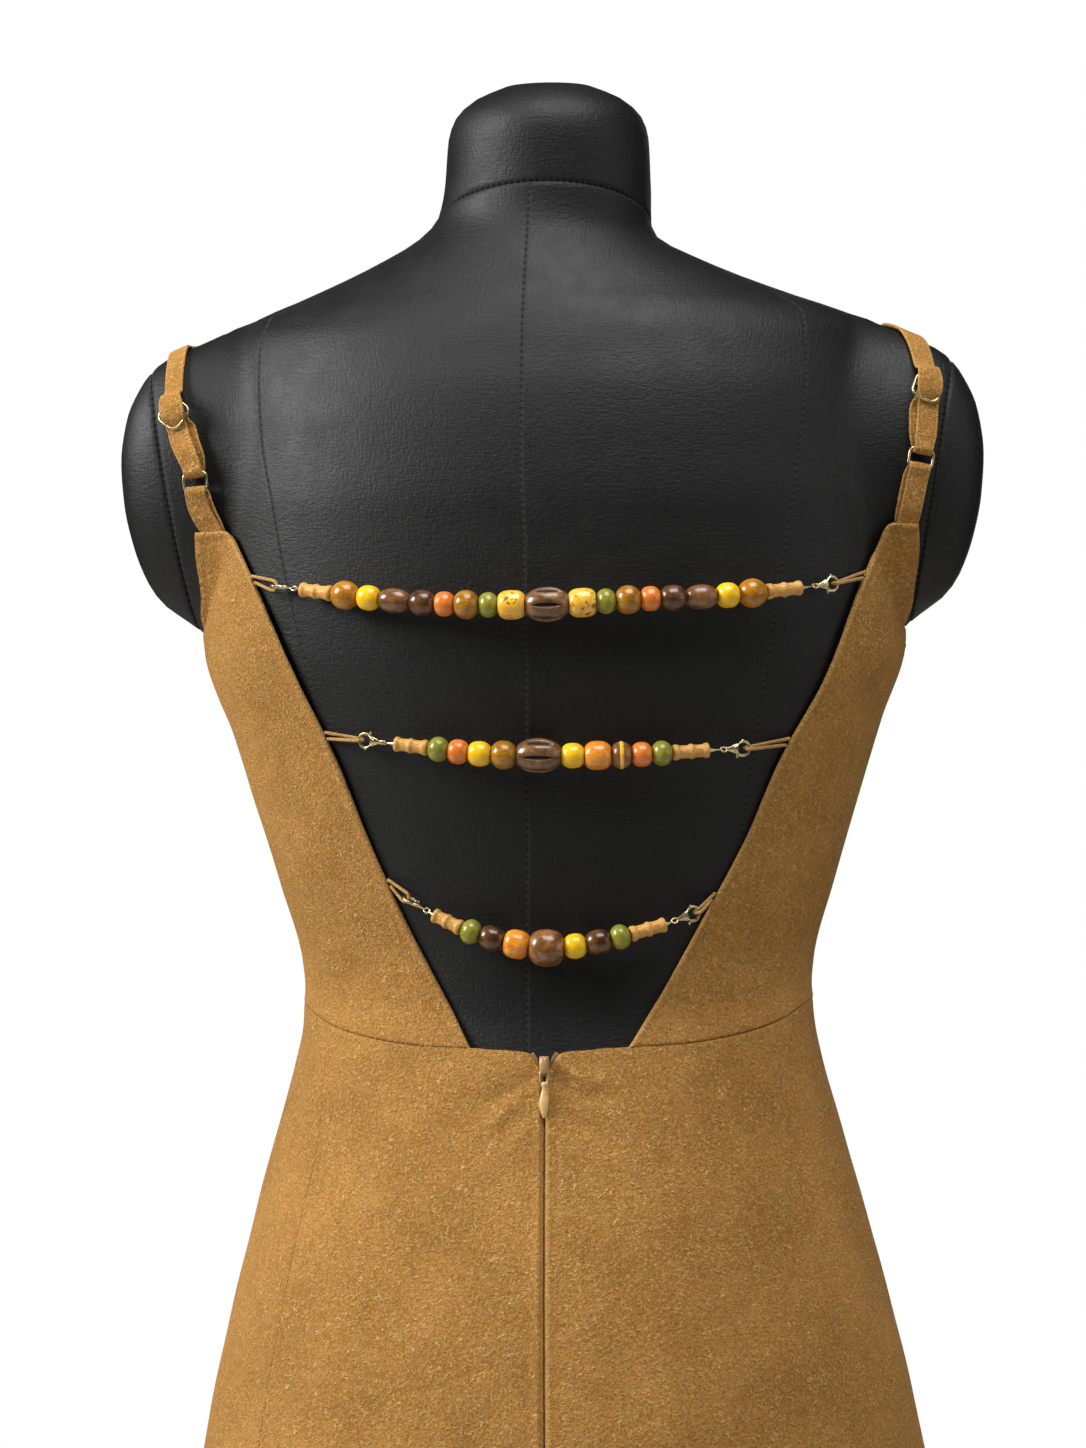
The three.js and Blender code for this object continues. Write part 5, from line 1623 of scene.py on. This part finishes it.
        # it spreads over the slider and gathers in the ring
        over_slider = np.exp(-(((degrees - self.slider_at - 1.5) / 6) ** 2)) * smooth(height, 6, 8.5)
        in_ring = np.exp(-(((degrees - self.ring_top) / 5) ** 2))
        above = smooth(degrees, self.slider_at + 4, self.slider_at + 13)
        spread = 1 + 0.2 * over_slider - 0.1 * in_ring - self.narrowed * above + 0.012 * np.sin(run / 3.7)
        spread = spread[:, None, None]
        log.info("%s lies flat in %.1f mm", name, np.linalg.norm(np.diff(point, axis=0), axis=-1).sum())
        rings = (point[:, None] + side[:, None] * wide[None, :, None] * spread
                 + up[:, None] * (high[None, :] * soft[:, None])[..., None])
        worn = np.tile(np.exp(-(self.width / 2 - np.abs(wide)) / 0.7), (count, 1))
        return sweep(name, rings, worn=worn.ravel())

    def frame_at(self, degrees: float, distance: float, spin: float = 0.0) -> tuple[Array, Array]:
        """Axes across, along and out of the strap at a place on it, and that place."""
        point, across, out = (v[0] for v in self.stations(np.array([degrees]), np.array([distance])))
        along = unit(np.cross(out, across))
        across = unit(np.cross(along, out))
        c, s = math.cos(spin), math.sin(spin)
        return np.array([across * c + along * s, along * c - across * s, out]), point

    def build(self) -> None:
        """Makes the strap, its tab, ring and slider."""
        word = self.side.word
        strap = self.ribbon(f"ribbon_strap_{word}", self.strap_rows(), 300)
        dress(strap, SUEDE, nodes=[f"strap_{word}"])
        tab = self.ribbon(f"ribbon_tab_{word}", self.tab_rows(), 90)
        dress(tab, SUEDE, nodes=[f"strap_tab_{word}"])
        bottom = self.ring_top - self.ring_length / self.degree
        ring = wire_loop(f"ring_{word}", self.ring_width, self.ring_length, self.wire, 2.8)
        place(ring, *self.frame_at((self.ring_top + bottom) / 2, self.loop_height))
        dress(ring, BRASS, nodes=[f"strap_ring_{word}"])
        loop = wire_loop("slider_loop", *self.SLIDER_LOOP, self.wire, 4.2)
        bar = turned("slider_bar", ((-7, self.wire), (-6.4, self.wire * 1.25), (-5.8, self.wire),
                                    (5.8, self.wire), (6.4, self.wire * 1.25), (7, self.wire)), 12)
        place(bar, [[0, 0, 1], [0, 1, 0], [-1, 0, 0]], [0, 0, 0])
        slider = joined(f"slider_{word}", [loop, bar])
        axes, at = self.frame_at(self.slider_at, self.slider_height, self.slider_spin)
        inward = -self.side.value * float(np.sign(axes[0][0]))
        place(slider, axes, at + axes[0] * inward * self.slider_aside)
        dress(slider, BRASS, nodes=[f"strap_slider_{word}"])


# ---- the bead strings


class Beads:
    """Models each kind of bead once, and hands out copies."""

    AROUND, CARVED_AROUND = 32, 72
    BORE = 1.15
    SLITS, SLIT_HALF_LENGTH, SLIT_DEPTH = 6, 6.6, 1.9
    RING_HALF_WIDTH = 0.75

    def __init__(self) -> None:
        """Starts with none made."""
        self.made: dict[BeadKind, Piece] = {}
        self.count = 0

    def profile(self, kind: BeadKind) -> list[tuple[float, float]]:
        """Height and radius of each ring, from the bore at one end to the bore at the other."""
        width, diameter, square, end, _ = kind.value
        half, bore = width / 2 - 0.12, self.BORE
        steps = np.sin(np.linspace(-FRONT, FRONT, 17))
        body = [(t * half, diameter / 2 * (1 - (end * abs(t)) ** square) ** (1 / square)) for t in steps]
        if kind is BeadKind.RINGED:
            body = [(z, r + 0.35 * math.exp(-((z / 0.7) ** 2))) for z, r in body]
        face = body[0][1]
        start_rows = [(-half + 0.8, bore), (-half + 0.3, bore), (-half + 0.08, bore + 0.35),
                      (-half + 0.05, face - 0.5)]
        return start_rows + body + [(-z, r) for z, r in reversed(start_rows)]

    def original(self, kind: BeadKind) -> Piece:
        """The first bead of a kind, round the z axis."""
        if kind not in self.made:
            around = self.CARVED_AROUND if kind is BeadKind.CARVED else self.AROUND
            made = turned(f"bead_{kind.name.lower()}", self.profile(kind), around, bored=True)
            made.data.materials.append(kind.finish.material())
            points = read_points(made.data)
            carved = np.zeros(len(points))
            if kind is BeadKind.CARVED:
                points, carved = self.carve(points)
                write_points(made.data, points)
            if kind is BeadKind.RINGED:
                made.data.materials.append(BeadKind.PALE.finish.material())
                for face in made.data.polygons:
                    if abs(face.center.z) < self.RING_HALF_WIDTH * MM and face.center.xy.length > 3 * MM:
                        face.material_index = 1
            write_mark(made.data, "carved", carved)
            self.made[kind] = made
        return self.made[kind]

    def carve(self, points: Array) -> tuple[Array, Array]:
        """Cuts long slits round a bead.

        Args:
            points: the bead's points.

        Returns:
            The moved points, and how deep each lies in a slit, which the bead's finish darkens as painted
            shade.
        """
        turn = np.arctan2(points[:, 1], points[:, 0])
        half = math.pi / self.SLITS
        off = np.abs((turn + half) % (2 * half) - half)
        radius = np.hypot(points[:, 0], points[:, 1])
        lens = np.clip(1 - (points[:, 2] / self.SLIT_HALF_LENGTH) ** 2, 0, 1)
        slit = np.exp(-((off * radius / (1.35 * lens + 0.05)) ** 2)) * smooth(lens, 0, 0.35)
        slit = slit * (radius > 5)
        grow = 1 - slit * self.SLIT_DEPTH / np.maximum(radius, 1)
        moved = points * np.stack([grow, grow, np.ones_like(grow)], -1)
        return moved, np.clip(slit * 1.5 - 0.3, 0, 0.95)

    def give(self, kind: BeadKind, axes: Array, centre: Array, stretch: float) -> Piece:
        """A bead in its place on a string.

        Args:
            kind: the bead.
            axes: its own x, y and bore as three rows.
            centre: the middle of it.
            stretch: its width against the usual.

        Returns:
            A new object with its own grain.
        """
        self.count += 1
        made = copied(self.original(kind), f"bead_{self.count}")
        rng = np.random.default_rng(self.count)
        write_mark(made.data, "grain", read_points(made.data) + rng.uniform(-90, 90, 3))
        made.data.transform(Matrix.Diagonal((1, 1, stretch, 1)))
        return place(made, axes, centre)

    def clear(self) -> None:
        """Removes the originals."""
        for made in self.made.values():
            bpy.data.objects.remove(made)


@dataclass
class BeadString:
    """A string of beads across the open back, with end barrels, clasps and cord loops."""

    word: str
    route: Table  # x, z
    stand_off: float
    clasps: tuple[float, float]
    barrels: tuple[tuple[float, float], tuple[float, float]]
    edge_on: tuple[bool, bool]
    beads: Sequence[BeadKind]

    BARREL = (  # share from the clasp's end, radius
        (0, 2.9), (0.012, 3.3), (0.04, 3.55), (0.1, 3.55), (0.13, 3.35), (0.155, 3.05), (0.2, 2.98),
        (0.36, 3.0), (0.41, 3.1), (0.435, 3.4), (0.465, 3.62), (0.505, 3.62), (0.535, 3.4), (0.56, 3.1),
        (0.62, 3.02), (0.78, 3.08), (0.82, 3.2), (0.845, 3.5), (0.875, 3.7), (0.95, 3.7), (0.985, 3.45),
        (1, 3.0),
    )
    CLASP_RADIUS = 3.4
    CLASP_WIRE = 0.7
    CORD_RADIUS = 0.9
    CORD_INSET = 0.95  # from a panel's edge to the middle of the cord's end
    CORD_SPREAD = 1.5  # half the height between a cord's two ends

    def path(self) -> Path:
        """The string's line from panel to panel."""
        first, last = self.route[0][0], self.route[-1][0]
        x, z = np.array(self.route, float).T
        inward = np.minimum(x - first, last - x)
        rise = np.minimum(1, inward / 38) ** 0.5
        return Path(behind_form(x, z, 1.6 + (self.stand_off - 1.6) * rise))

    def frame_on(self, path: Path, share: float, spin: float = 0.0) -> Array:
        """Axes of a piece on the string: x outwards from the form, z along the bore."""
        ahead = path.ahead(share)
        point = path.at(share)
        out = FORM.out(np.arctan2(point[1], point[0]), point[2])
        out = unit(out - ahead * (out @ ahead))
        other = np.cross(ahead, out)
        c, s = math.cos(spin), math.sin(spin)
        return np.array([out * c + other * s, other * c - out * s, ahead])

    def build_beads(self, path: Path, stock: Beads) -> None:
        """Threads the beads between the barrels, each with its share of the length."""
        gap = SEAM_GAP / path.length
        first = path.share_at_x(self.barrels[0][1]) + gap
        last = path.share_at_x(self.barrels[1][1]) - gap
        total = sum(kind.sizes[0] for kind in self.beads)
        stretch = (last - first) * path.length / total
        parts, here = [], first
        for i, kind in enumerate(self.beads):
            share = (last - first) * kind.sizes[0] / total
            spin = 0.0 if kind is BeadKind.CARVED else 1.3 * i + len(self.word)
            centre = path.at(here + share / 2)
            parts.append(stock.give(kind, self.frame_on(path, here + share / 2, spin), centre, stretch))
            here += share
        cord = Path(path.at(np.linspace(first - gap, last + gap, 40)))
        thread = sweep("thread", tube_rings(cord, 120, 0.8, 10))
        thread.data.materials.append(LACE.material())
        made = joined(f"beads_{self.word}", [*parts, thread])
        dress(made, BARREL_WOOD, nodes=[f"bead_string_{self.word}"])

    def build_barrel(self, path: Path, end: int) -> None:
        """A turned barrel at one end of the beads."""
        outer, inner = (path.share_at_x(x) for x in self.barrels[end])
        length = abs(outer - inner) * path.length
        word = list(Side)[end].word
        made = turned(f"barrel_{self.word}_{word}", [(s * length, r) for s, r in self.BARREL], 28)
        write_mark(made.data, "grain", read_points(made.data) + 31 * (end + 1) + len(self.word))
        axes = self.frame_on(path, (outer + inner) / 2)
        if outer > inner:
            axes = np.array([axes[0], -axes[1], -axes[2]])
        place(made, axes, path.at(outer))
        dress(made, BARREL_WOOD, nodes=[f"end_barrel_{self.word}_{word}"])

    def clasp_frame(self, path: Path, end: int) -> tuple[Array, Array, float]:
        """Axes of a clasp, with x towards the beads, then its middle and its reach."""
        middle = path.at(path.share_at_x(self.clasps[end]))
        target = path.at(path.share_at_x(self.barrels[end][0]))
        ahead = target - middle
        reach = float(np.linalg.norm(ahead))
        ahead = ahead / reach
        out = FORM.out(np.arctan2(middle[1], middle[0]), middle[2])
        upright = unit(np.cross(out, ahead))
        flat = upright if self.edge_on[end] else -np.cross(upright, ahead)
        return np.array([ahead, np.cross(flat, ahead), flat]), middle, reach

    def build_clasp(self, path: Path, end: int) -> None:
        """A lobster clasp with its swivel ring and the pin that goes into the barrel."""
        axes, middle, reach = self.clasp_frame(path, end)
        radius, wire = self.CLASP_RADIUS, self.CLASP_WIRE
        neck = min(4.4, reach - 7.2)
        hook = start(bpy.ops.mesh.primitive_torus_add, major_radius=radius * MM, minor_radius=wire * MM,
                     major_segments=44, minor_segments=14)
        # the hook swells and narrows towards its neck
        for low, grow, shift in ((0.6, 0.9, 0.35), (1.7, 0.78, 0.55), (2.7, 0.7, 0.6)):
            pick(hook, lambda p, b=low: p.x > b)
            bpy.ops.transform.resize(value=(1, grow, 1.1), center_override=(low * MM, 0, 0))
            bpy.ops.transform.translate(value=(shift * MM, 0, 0))
        hook = finish_shape(hook, "hook")
        # the body narrows from the hook to the swivel, and is flatter than it is wide
        stem_from = radius - 0.9
        stem = turned("stem", ((0, 1.9), (0.35, 2.5), (1.2, 2.45), (2.3, 1.9), (neck + 0.2, 1.0),
                               (neck + 0.8, 0.85), (neck + 1.1, 1.15), (neck + 1.6, 1.15),
                               (neck + 1.9, 0.7)), 20)
        stem.data.transform(Matrix.Diagonal((0.42, 1, 1, 1)))
        place(stem, [[0, 0, -1], [0, 1, 0], [1, 0, 0]], [stem_from, 0, 0])
        lever = block("lever", (3.6, 1.0, 1.25), 0.3, (1.5, radius - 0.2, 0))
        nub = block("nub", (1.0, 1.5, 1.1), 0.4, (2.9, radius + 0.35, 0))
        heel = block("heel", (1.0, 0.9, 1.1), 0.3, (0.2, -radius - 0.7, 0))
        link_x = radius + neck + 1.9
        link = wire_loop("link", 2.9, 2.4, 0.42, 1.1)
        place(link, [[1, 0, 0], [0, 0.71, 0.71], [0, -0.71, 0.71]], [link_x, 0, 0])
        pin_length = reach - SEAM_GAP - link_x - 0.9
        pin = turned("pin", ((0, 0.35), (0.2, 0.5), (pin_length * 0.5, 0.5), (pin_length * 0.7, 0.85),
                             (pin_length, 1.0)), 14)
        place(pin, [[0, 0, -1], [0, 1, 0], [1, 0, 0]], [link_x + 0.9, 0, 0])
        word = list(Side)[end].word
        made = joined(f"lobster_{self.word}_{word}", [hook, stem, lever, nub, heel, link, pin])
        place(made, axes, middle)
        dress(made, BRASS, nodes=[f"clasp_{self.word}_{word}"])

    def build_cord(self, path: Path, end: int) -> None:
        """The loop of cord from the panel's edge through the clasp and back."""
        axes, middle, _ = self.clasp_frame(path, end)
        side = list(Side)[end]
        z = self.route[0 if end == 0 else -1][1]
        bend = self.CLASP_WIRE + SEAM_GAP + self.CORD_RADIUS + 0.3
        turns = np.radians([-80, -55, -25, 0, 25, 55, 80])
        local = np.stack([-self.CLASP_RADIUS + bend * np.cos(turns), 0 * turns, bend * np.sin(turns)], -1)
        local = local @ axes + middle
        up = 1 if axes[2][2] >= 0 else -1

        def at_edge(height: float) -> Array:
            x = side.value * (float(BACK_EDGE[side](height)) - self.CORD_INSET)
            return behind_form(x, height, FORM_GAP(height) + WALL / 2)

        points = [at_edge(z - up * self.CORD_SPREAD), *local, at_edge(z + up * self.CORD_SPREAD)]
        rings = tube_rings(Path(points), 70, self.CORD_RADIUS - 0.1, 12)
        made = sweep(f"lace_{self.word}_{side.word}", rings)
        dress(made, LACE, nodes=[f"cord_loop_{self.word}_{side.word}"])

    def build(self, stock: Beads) -> None:
        """Makes the whole string."""
        path = self.path()
        self.build_beads(path, stock)
        for end in (0, 1):
            self.build_barrel(path, end)
            self.build_clasp(path, end)
            self.build_cord(path, end)


K = BeadKind
STRINGS = (
    BeadString(
        "top",
        ((-139.5, 1248.2), (-126, 1244.8), (-107, 1241.9), (-81, 1238.2), (-50, 1235), (0, 1233.9),
         (45, 1235.8), (80, 1237), (112, 1240), (135, 1243.2), (151.6, 1246.9)),
        9, (-126.5, 135.1), ((-114.8, -99.8), (120.4, 104.3)), (True, False),
        (K.AMBER, K.YELLOW, K.LONG_BROWN, K.DARK_BROWN, K.CORAL, K.SMALL_AMBER, K.GREEN, K.PALE,
         K.CARVED, K.PALE, K.GREEN, K.SMALL_AMBER, K.CORAL, K.DARK_BROWN, K.LONG_BROWN, K.YELLOW, K.AMBER),
    ),
    BeadString(
        "middle",
        ((-101.9, 1173.8), (-85.2, 1172.3), (-63, 1169.9), (-30, 1165.5), (-3.5, 1164.4), (40, 1164.3),
         (70, 1166), (92.4, 1166.8), (112.8, 1168.6)),
        9, (-85.2, 92.4), ((-70.8, -55), (76.5, 59.6)), (False, False),
        (K.GREEN, K.CORAL, K.YELLOW, K.SMALL_AMBER, K.CARVED, K.YELLOW, K.ORANGE, K.RINGED, K.CORAL, K.GREEN),
    ),
    BeadString(
        "bottom",
        ((-74.1, 1103.4), (-65.5, 1097), (-54, 1090.2), (-38, 1082.6), (-18, 1076), (-2, 1073.2),
         (14, 1074.2), (36, 1079.2), (55, 1084.6), (67.9, 1089.4), (78.1, 1095.6)),
        9.6, (-65.5, 67.9), ((-54.2, -41), (55, 38.6)), (True, False),
        (K.GREEN, K.DARK_BROWN, K.ORANGE, K.PLAIN_BROWN, K.YELLOW, K.DARK_BROWN, K.GREEN),
    ),
)


# ---- the zip


@dataclass
class Zip:
    """The concealed zip at the centre back: tape, coil ends, slider and pull."""

    top: float = 1013.5
    bottom: float = 830
    tape_depth: float = 2.6
    slider_z: float = 1016.5
    slider_width: float = 4.6
    slider_height: float = 9.5
    slider_depth: float = 2.2
    link_length: float = 6.4
    pull_length: float = 17
    lean: float = 4.5  # degrees

    TEETH, TOOTH_PITCH, TOOTH = 12, 0.8, (1.9, 0.6, 1.1)

    def frame_at(self, z: float, distance: float) -> tuple[Array, Array]:
        """Axes at the centre back with x to the right, y up along the cloth and z out, and the place."""
        height = np.array([float(z)])
        angle = SKIRT.angle_at(np.array([CENTRE_BACK_X]), height)
        out = SKIRT.out(angle, height)[0]
        point = SKIRT.at(angle, height, distance)[0]
        along = unit(np.cross(out, (1, 0, 0)))
        return np.array([unit(np.cross(along, out)), along, out]), point

    def build_tape(self) -> None:
        """The tape behind the seam, with the coil's two edges showing in the notch above the slider."""
        heights = np.linspace(self.bottom, self.top, 60)
        wide = np.array([-8, -7.7, -4, -0.9, -0.5, 0.5, 0.9, 4, 7.7, 8])
        high = np.array([0, 0.35, 0.35, 0.4, 0.2, 0.2, 0.4, 0.35, 0.35, 0])
        across = np.concatenate([wide, wide[-2:0:-1]])
        rise = np.concatenate([high, -high[-2:0:-1]])
        rings = []
        for z in heights:
            axes, point = self.frame_at(z, -self.tape_depth)
            rings.append(point + across[:, None] * axes[0] + rise[:, None] * axes[2])
        made = sweep("tape", np.array(rings))
        dress(made, TAPE, nodes=["zip_tape"])
        parts = []
        for side in Side:
            axes, point = self.frame_at(self.slider_z + 2.1, -0.8)
            lean = 0.5 * side.value
            turn = np.array([axes[0] * math.cos(lean) - axes[1] * math.sin(lean),
                             axes[1] * math.cos(lean) + axes[0] * math.sin(lean), axes[2]])
            for i in range(self.TEETH):
                tooth = block("tooth", self.TOOTH, 0.22)
                away = turn[1] * (-4.4 + self.TOOTH_PITCH * i) + axes[0] * side.value * 3.3
                place(tooth, turn, point + away)
                parts.append(tooth)
            flap = block("flap", (3.6, 9.8, 0.5), 0.2)
            parts.append(place(flap, turn, point + axes[0] * side.value * 4.4 - axes[2] * 0.6))
        coil = joined("coil_ends", parts)
        dress(coil, COIL)

    def build_slider(self) -> None:
        """The slider's body with the bridge that the link goes under."""
        plate = block("plate", (self.slider_width, self.slider_height, self.slider_depth), 0.7)
        half, top = self.slider_height / 2 - 1, self.slider_depth / 2
        bridge = Path([(0, half, top - 0.4), (0, half - 0.3, top + 1.4), (0, half - 2, top + 2),
                       (0, -half + 2, top + 2), (0, -half + 0.3, top + 1.4), (0, -half, top - 0.4)])
        rings = tube_rings(bridge, 40, 0.55, 12)
        centre = bridge.at(np.linspace(0, 1, 40))[:, None]
        crown = sweep("crown", centre + (rings - centre) * (3.0, 1, 1))
        made = joined("slider_zip", [plate, crown])
        place(made, *self.frame_at(self.slider_z, self.slider_depth / 2 + SEAM_GAP))
        dress(made, DARKER_ENAMEL, nodes=["zip_slider"])

    def build_pull(self) -> None:
        """The link and the drop that hangs from it."""
        link = wire_loop("link", 3.4, self.link_length, 0.5, 1.2)
        link.data.transform(Matrix.Translation((0, -self.link_length / 2 * MM, 0)))
        link.data.materials.append(BRASS.material())
        rows = [(0, 0.4), (0.25, 0.95), (0.9, 1.35), (1.7, 1.3), (2.4, 0.95), (3.2, 0.85), (4.4, 1.05),
                (6.2, 1.6), (8.2, 2.1), (10, 2.28), (11.8, 2.2), (13.4, 1.85), (15, 1.3), (16.2, 0.75),
                (self.pull_length, 0.2)]
        drop = turned("drop", rows, 28)
        drop.data.transform(Matrix.Diagonal((1, 0.62, 1, 1)))
        place(drop, [[1, 0, 0], [0, 0, -1], [0, -1, 0]], [0, -self.link_length + 1.2, 0])
        drop.data.materials.append(ENAMEL.material())
        made = joined("pull", [link, drop])
        made.data.transform(Matrix.Rotation(math.radians(self.lean), 4, "X"))
        place(made, *self.frame_at(self.slider_z - 2.4, self.slider_depth + SEAM_GAP + 0.75))
        dress(made, ENAMEL, body="zip_pull", nodes=["zip_pull"])

    def build(self) -> None:
        """Makes the whole zip."""
        self.build_tape()
        self.build_slider()
        self.build_pull()


# ---- the studio


@dataclass
class Studio:
    """A pale floor, plain soft light and a level camera behind the dress."""

    azimuth: float = 3.0  # degrees
    distance: float = 2200
    eye_z: float = 1177.7
    aside: float = -6.0
    roll: float = 0.63  # degrees
    view_height: float = 709.5  # millimetres at the axis

    def camera(self) -> None:
        """Sets the camera."""
        turn, roll = math.radians(self.azimuth), math.radians(self.roll)
        right = Vector((math.cos(turn), math.sin(turn), 0))
        back = Vector((math.sin(turn), -math.cos(turn), 0))
        up = Vector((0, 0, 1))
        made = bpy.data.objects.new("camera", bpy.data.cameras.new("camera"))
        bpy.context.scene.collection.objects.link(made)
        x = right * math.cos(roll) - up * math.sin(roll)
        y = right * math.sin(roll) + up * math.cos(roll)
        matrix = Matrix((x, y, back)).transposed().to_4x4()
        where = back * self.distance + right * self.aside + up * self.eye_z
        matrix.translation = where * MM
        made.matrix_world = matrix
        made.data.sensor_width = 36
        made.data.lens = 36 * self.distance / self.view_height
        made.data.clip_end = 50
        bpy.context.scene.camera = made

    def lamp(self, name: str, at: tuple[float, float, float], size: float, power: float) -> None:
        """A square soft light aimed at the bodice."""
        made = bpy.data.objects.new(name, bpy.data.lights.new(name, "AREA"))
        made.data.size = size
        made.data.energy = power
        made.location = at
        aim = Vector((0, 0, 1.15)) - Vector(at)
        made.rotation_euler = aim.to_track_quat("-Z", "Y").to_euler()
        bpy.context.scene.collection.objects.link(made)

    def build(self) -> None:
        """Makes the floor, lights, world and camera."""
        floor = turned("floor", ((-30, 2900), (-6, 2900), (-1, 2896), (-0.5, 2880)), 96)
        floor.data.materials.append(FLOOR.material())
        self.lamp("key", (-2.55, -0.85, 2.6), 1.3, 124)
        self.lamp("top", (0.35, -0.85, 3.5), 1.6, 66)
        self.lamp("fill", (2.7, -0.9, 1.8), 2.0, 15)
        self.lamp("front", (0.2, 3.4, 1.3), 2.2, 15)
        world = bpy.data.worlds.new("studio")
        world.use_nodes = True
        tree = world.node_tree
        tree.nodes.clear()
        seen = add(tree, "Background", {"Color": linear("#ffffff"), "Strength": 1.0})
        lit = add(tree, "Background", {"Color": linear("#ffffff"), "Strength": 0.03})
        direct = add(tree, "LightPath", out="Is Camera Ray")
        both = add(tree, "MixShader", {0: direct, 1: lit, 2: seen})
        add(tree, "OutputWorld", {"Surface": both})
        bpy.context.scene.world = world
        bpy.context.scene.view_settings.view_transform = "Standard"
        self.camera()


def main() -> None:
    """Builds every sub-assembly in order."""
    logging.basicConfig(level=logging.INFO, format="%(name)s %(message)s", stream=sys.stdout)
    Studio().build()
    DressForm().build()
    Stand().build()
    Dress().build()
    Strap(Side.LEFT).build()
    Strap(Side.RIGHT, tab_end=-33.5, strap_cut=0.247, tab_cut=0.064, slider_at=40.0, ring_top=8.2,
          slider_spin=-0.34, slider_aside=0.9, narrowed=0.0).build()
    stock = Beads()
    for string in STRINGS:
        string.build(stock)
    stock.clear()
    Zip().build()


if __name__ == "__main__":
    main()
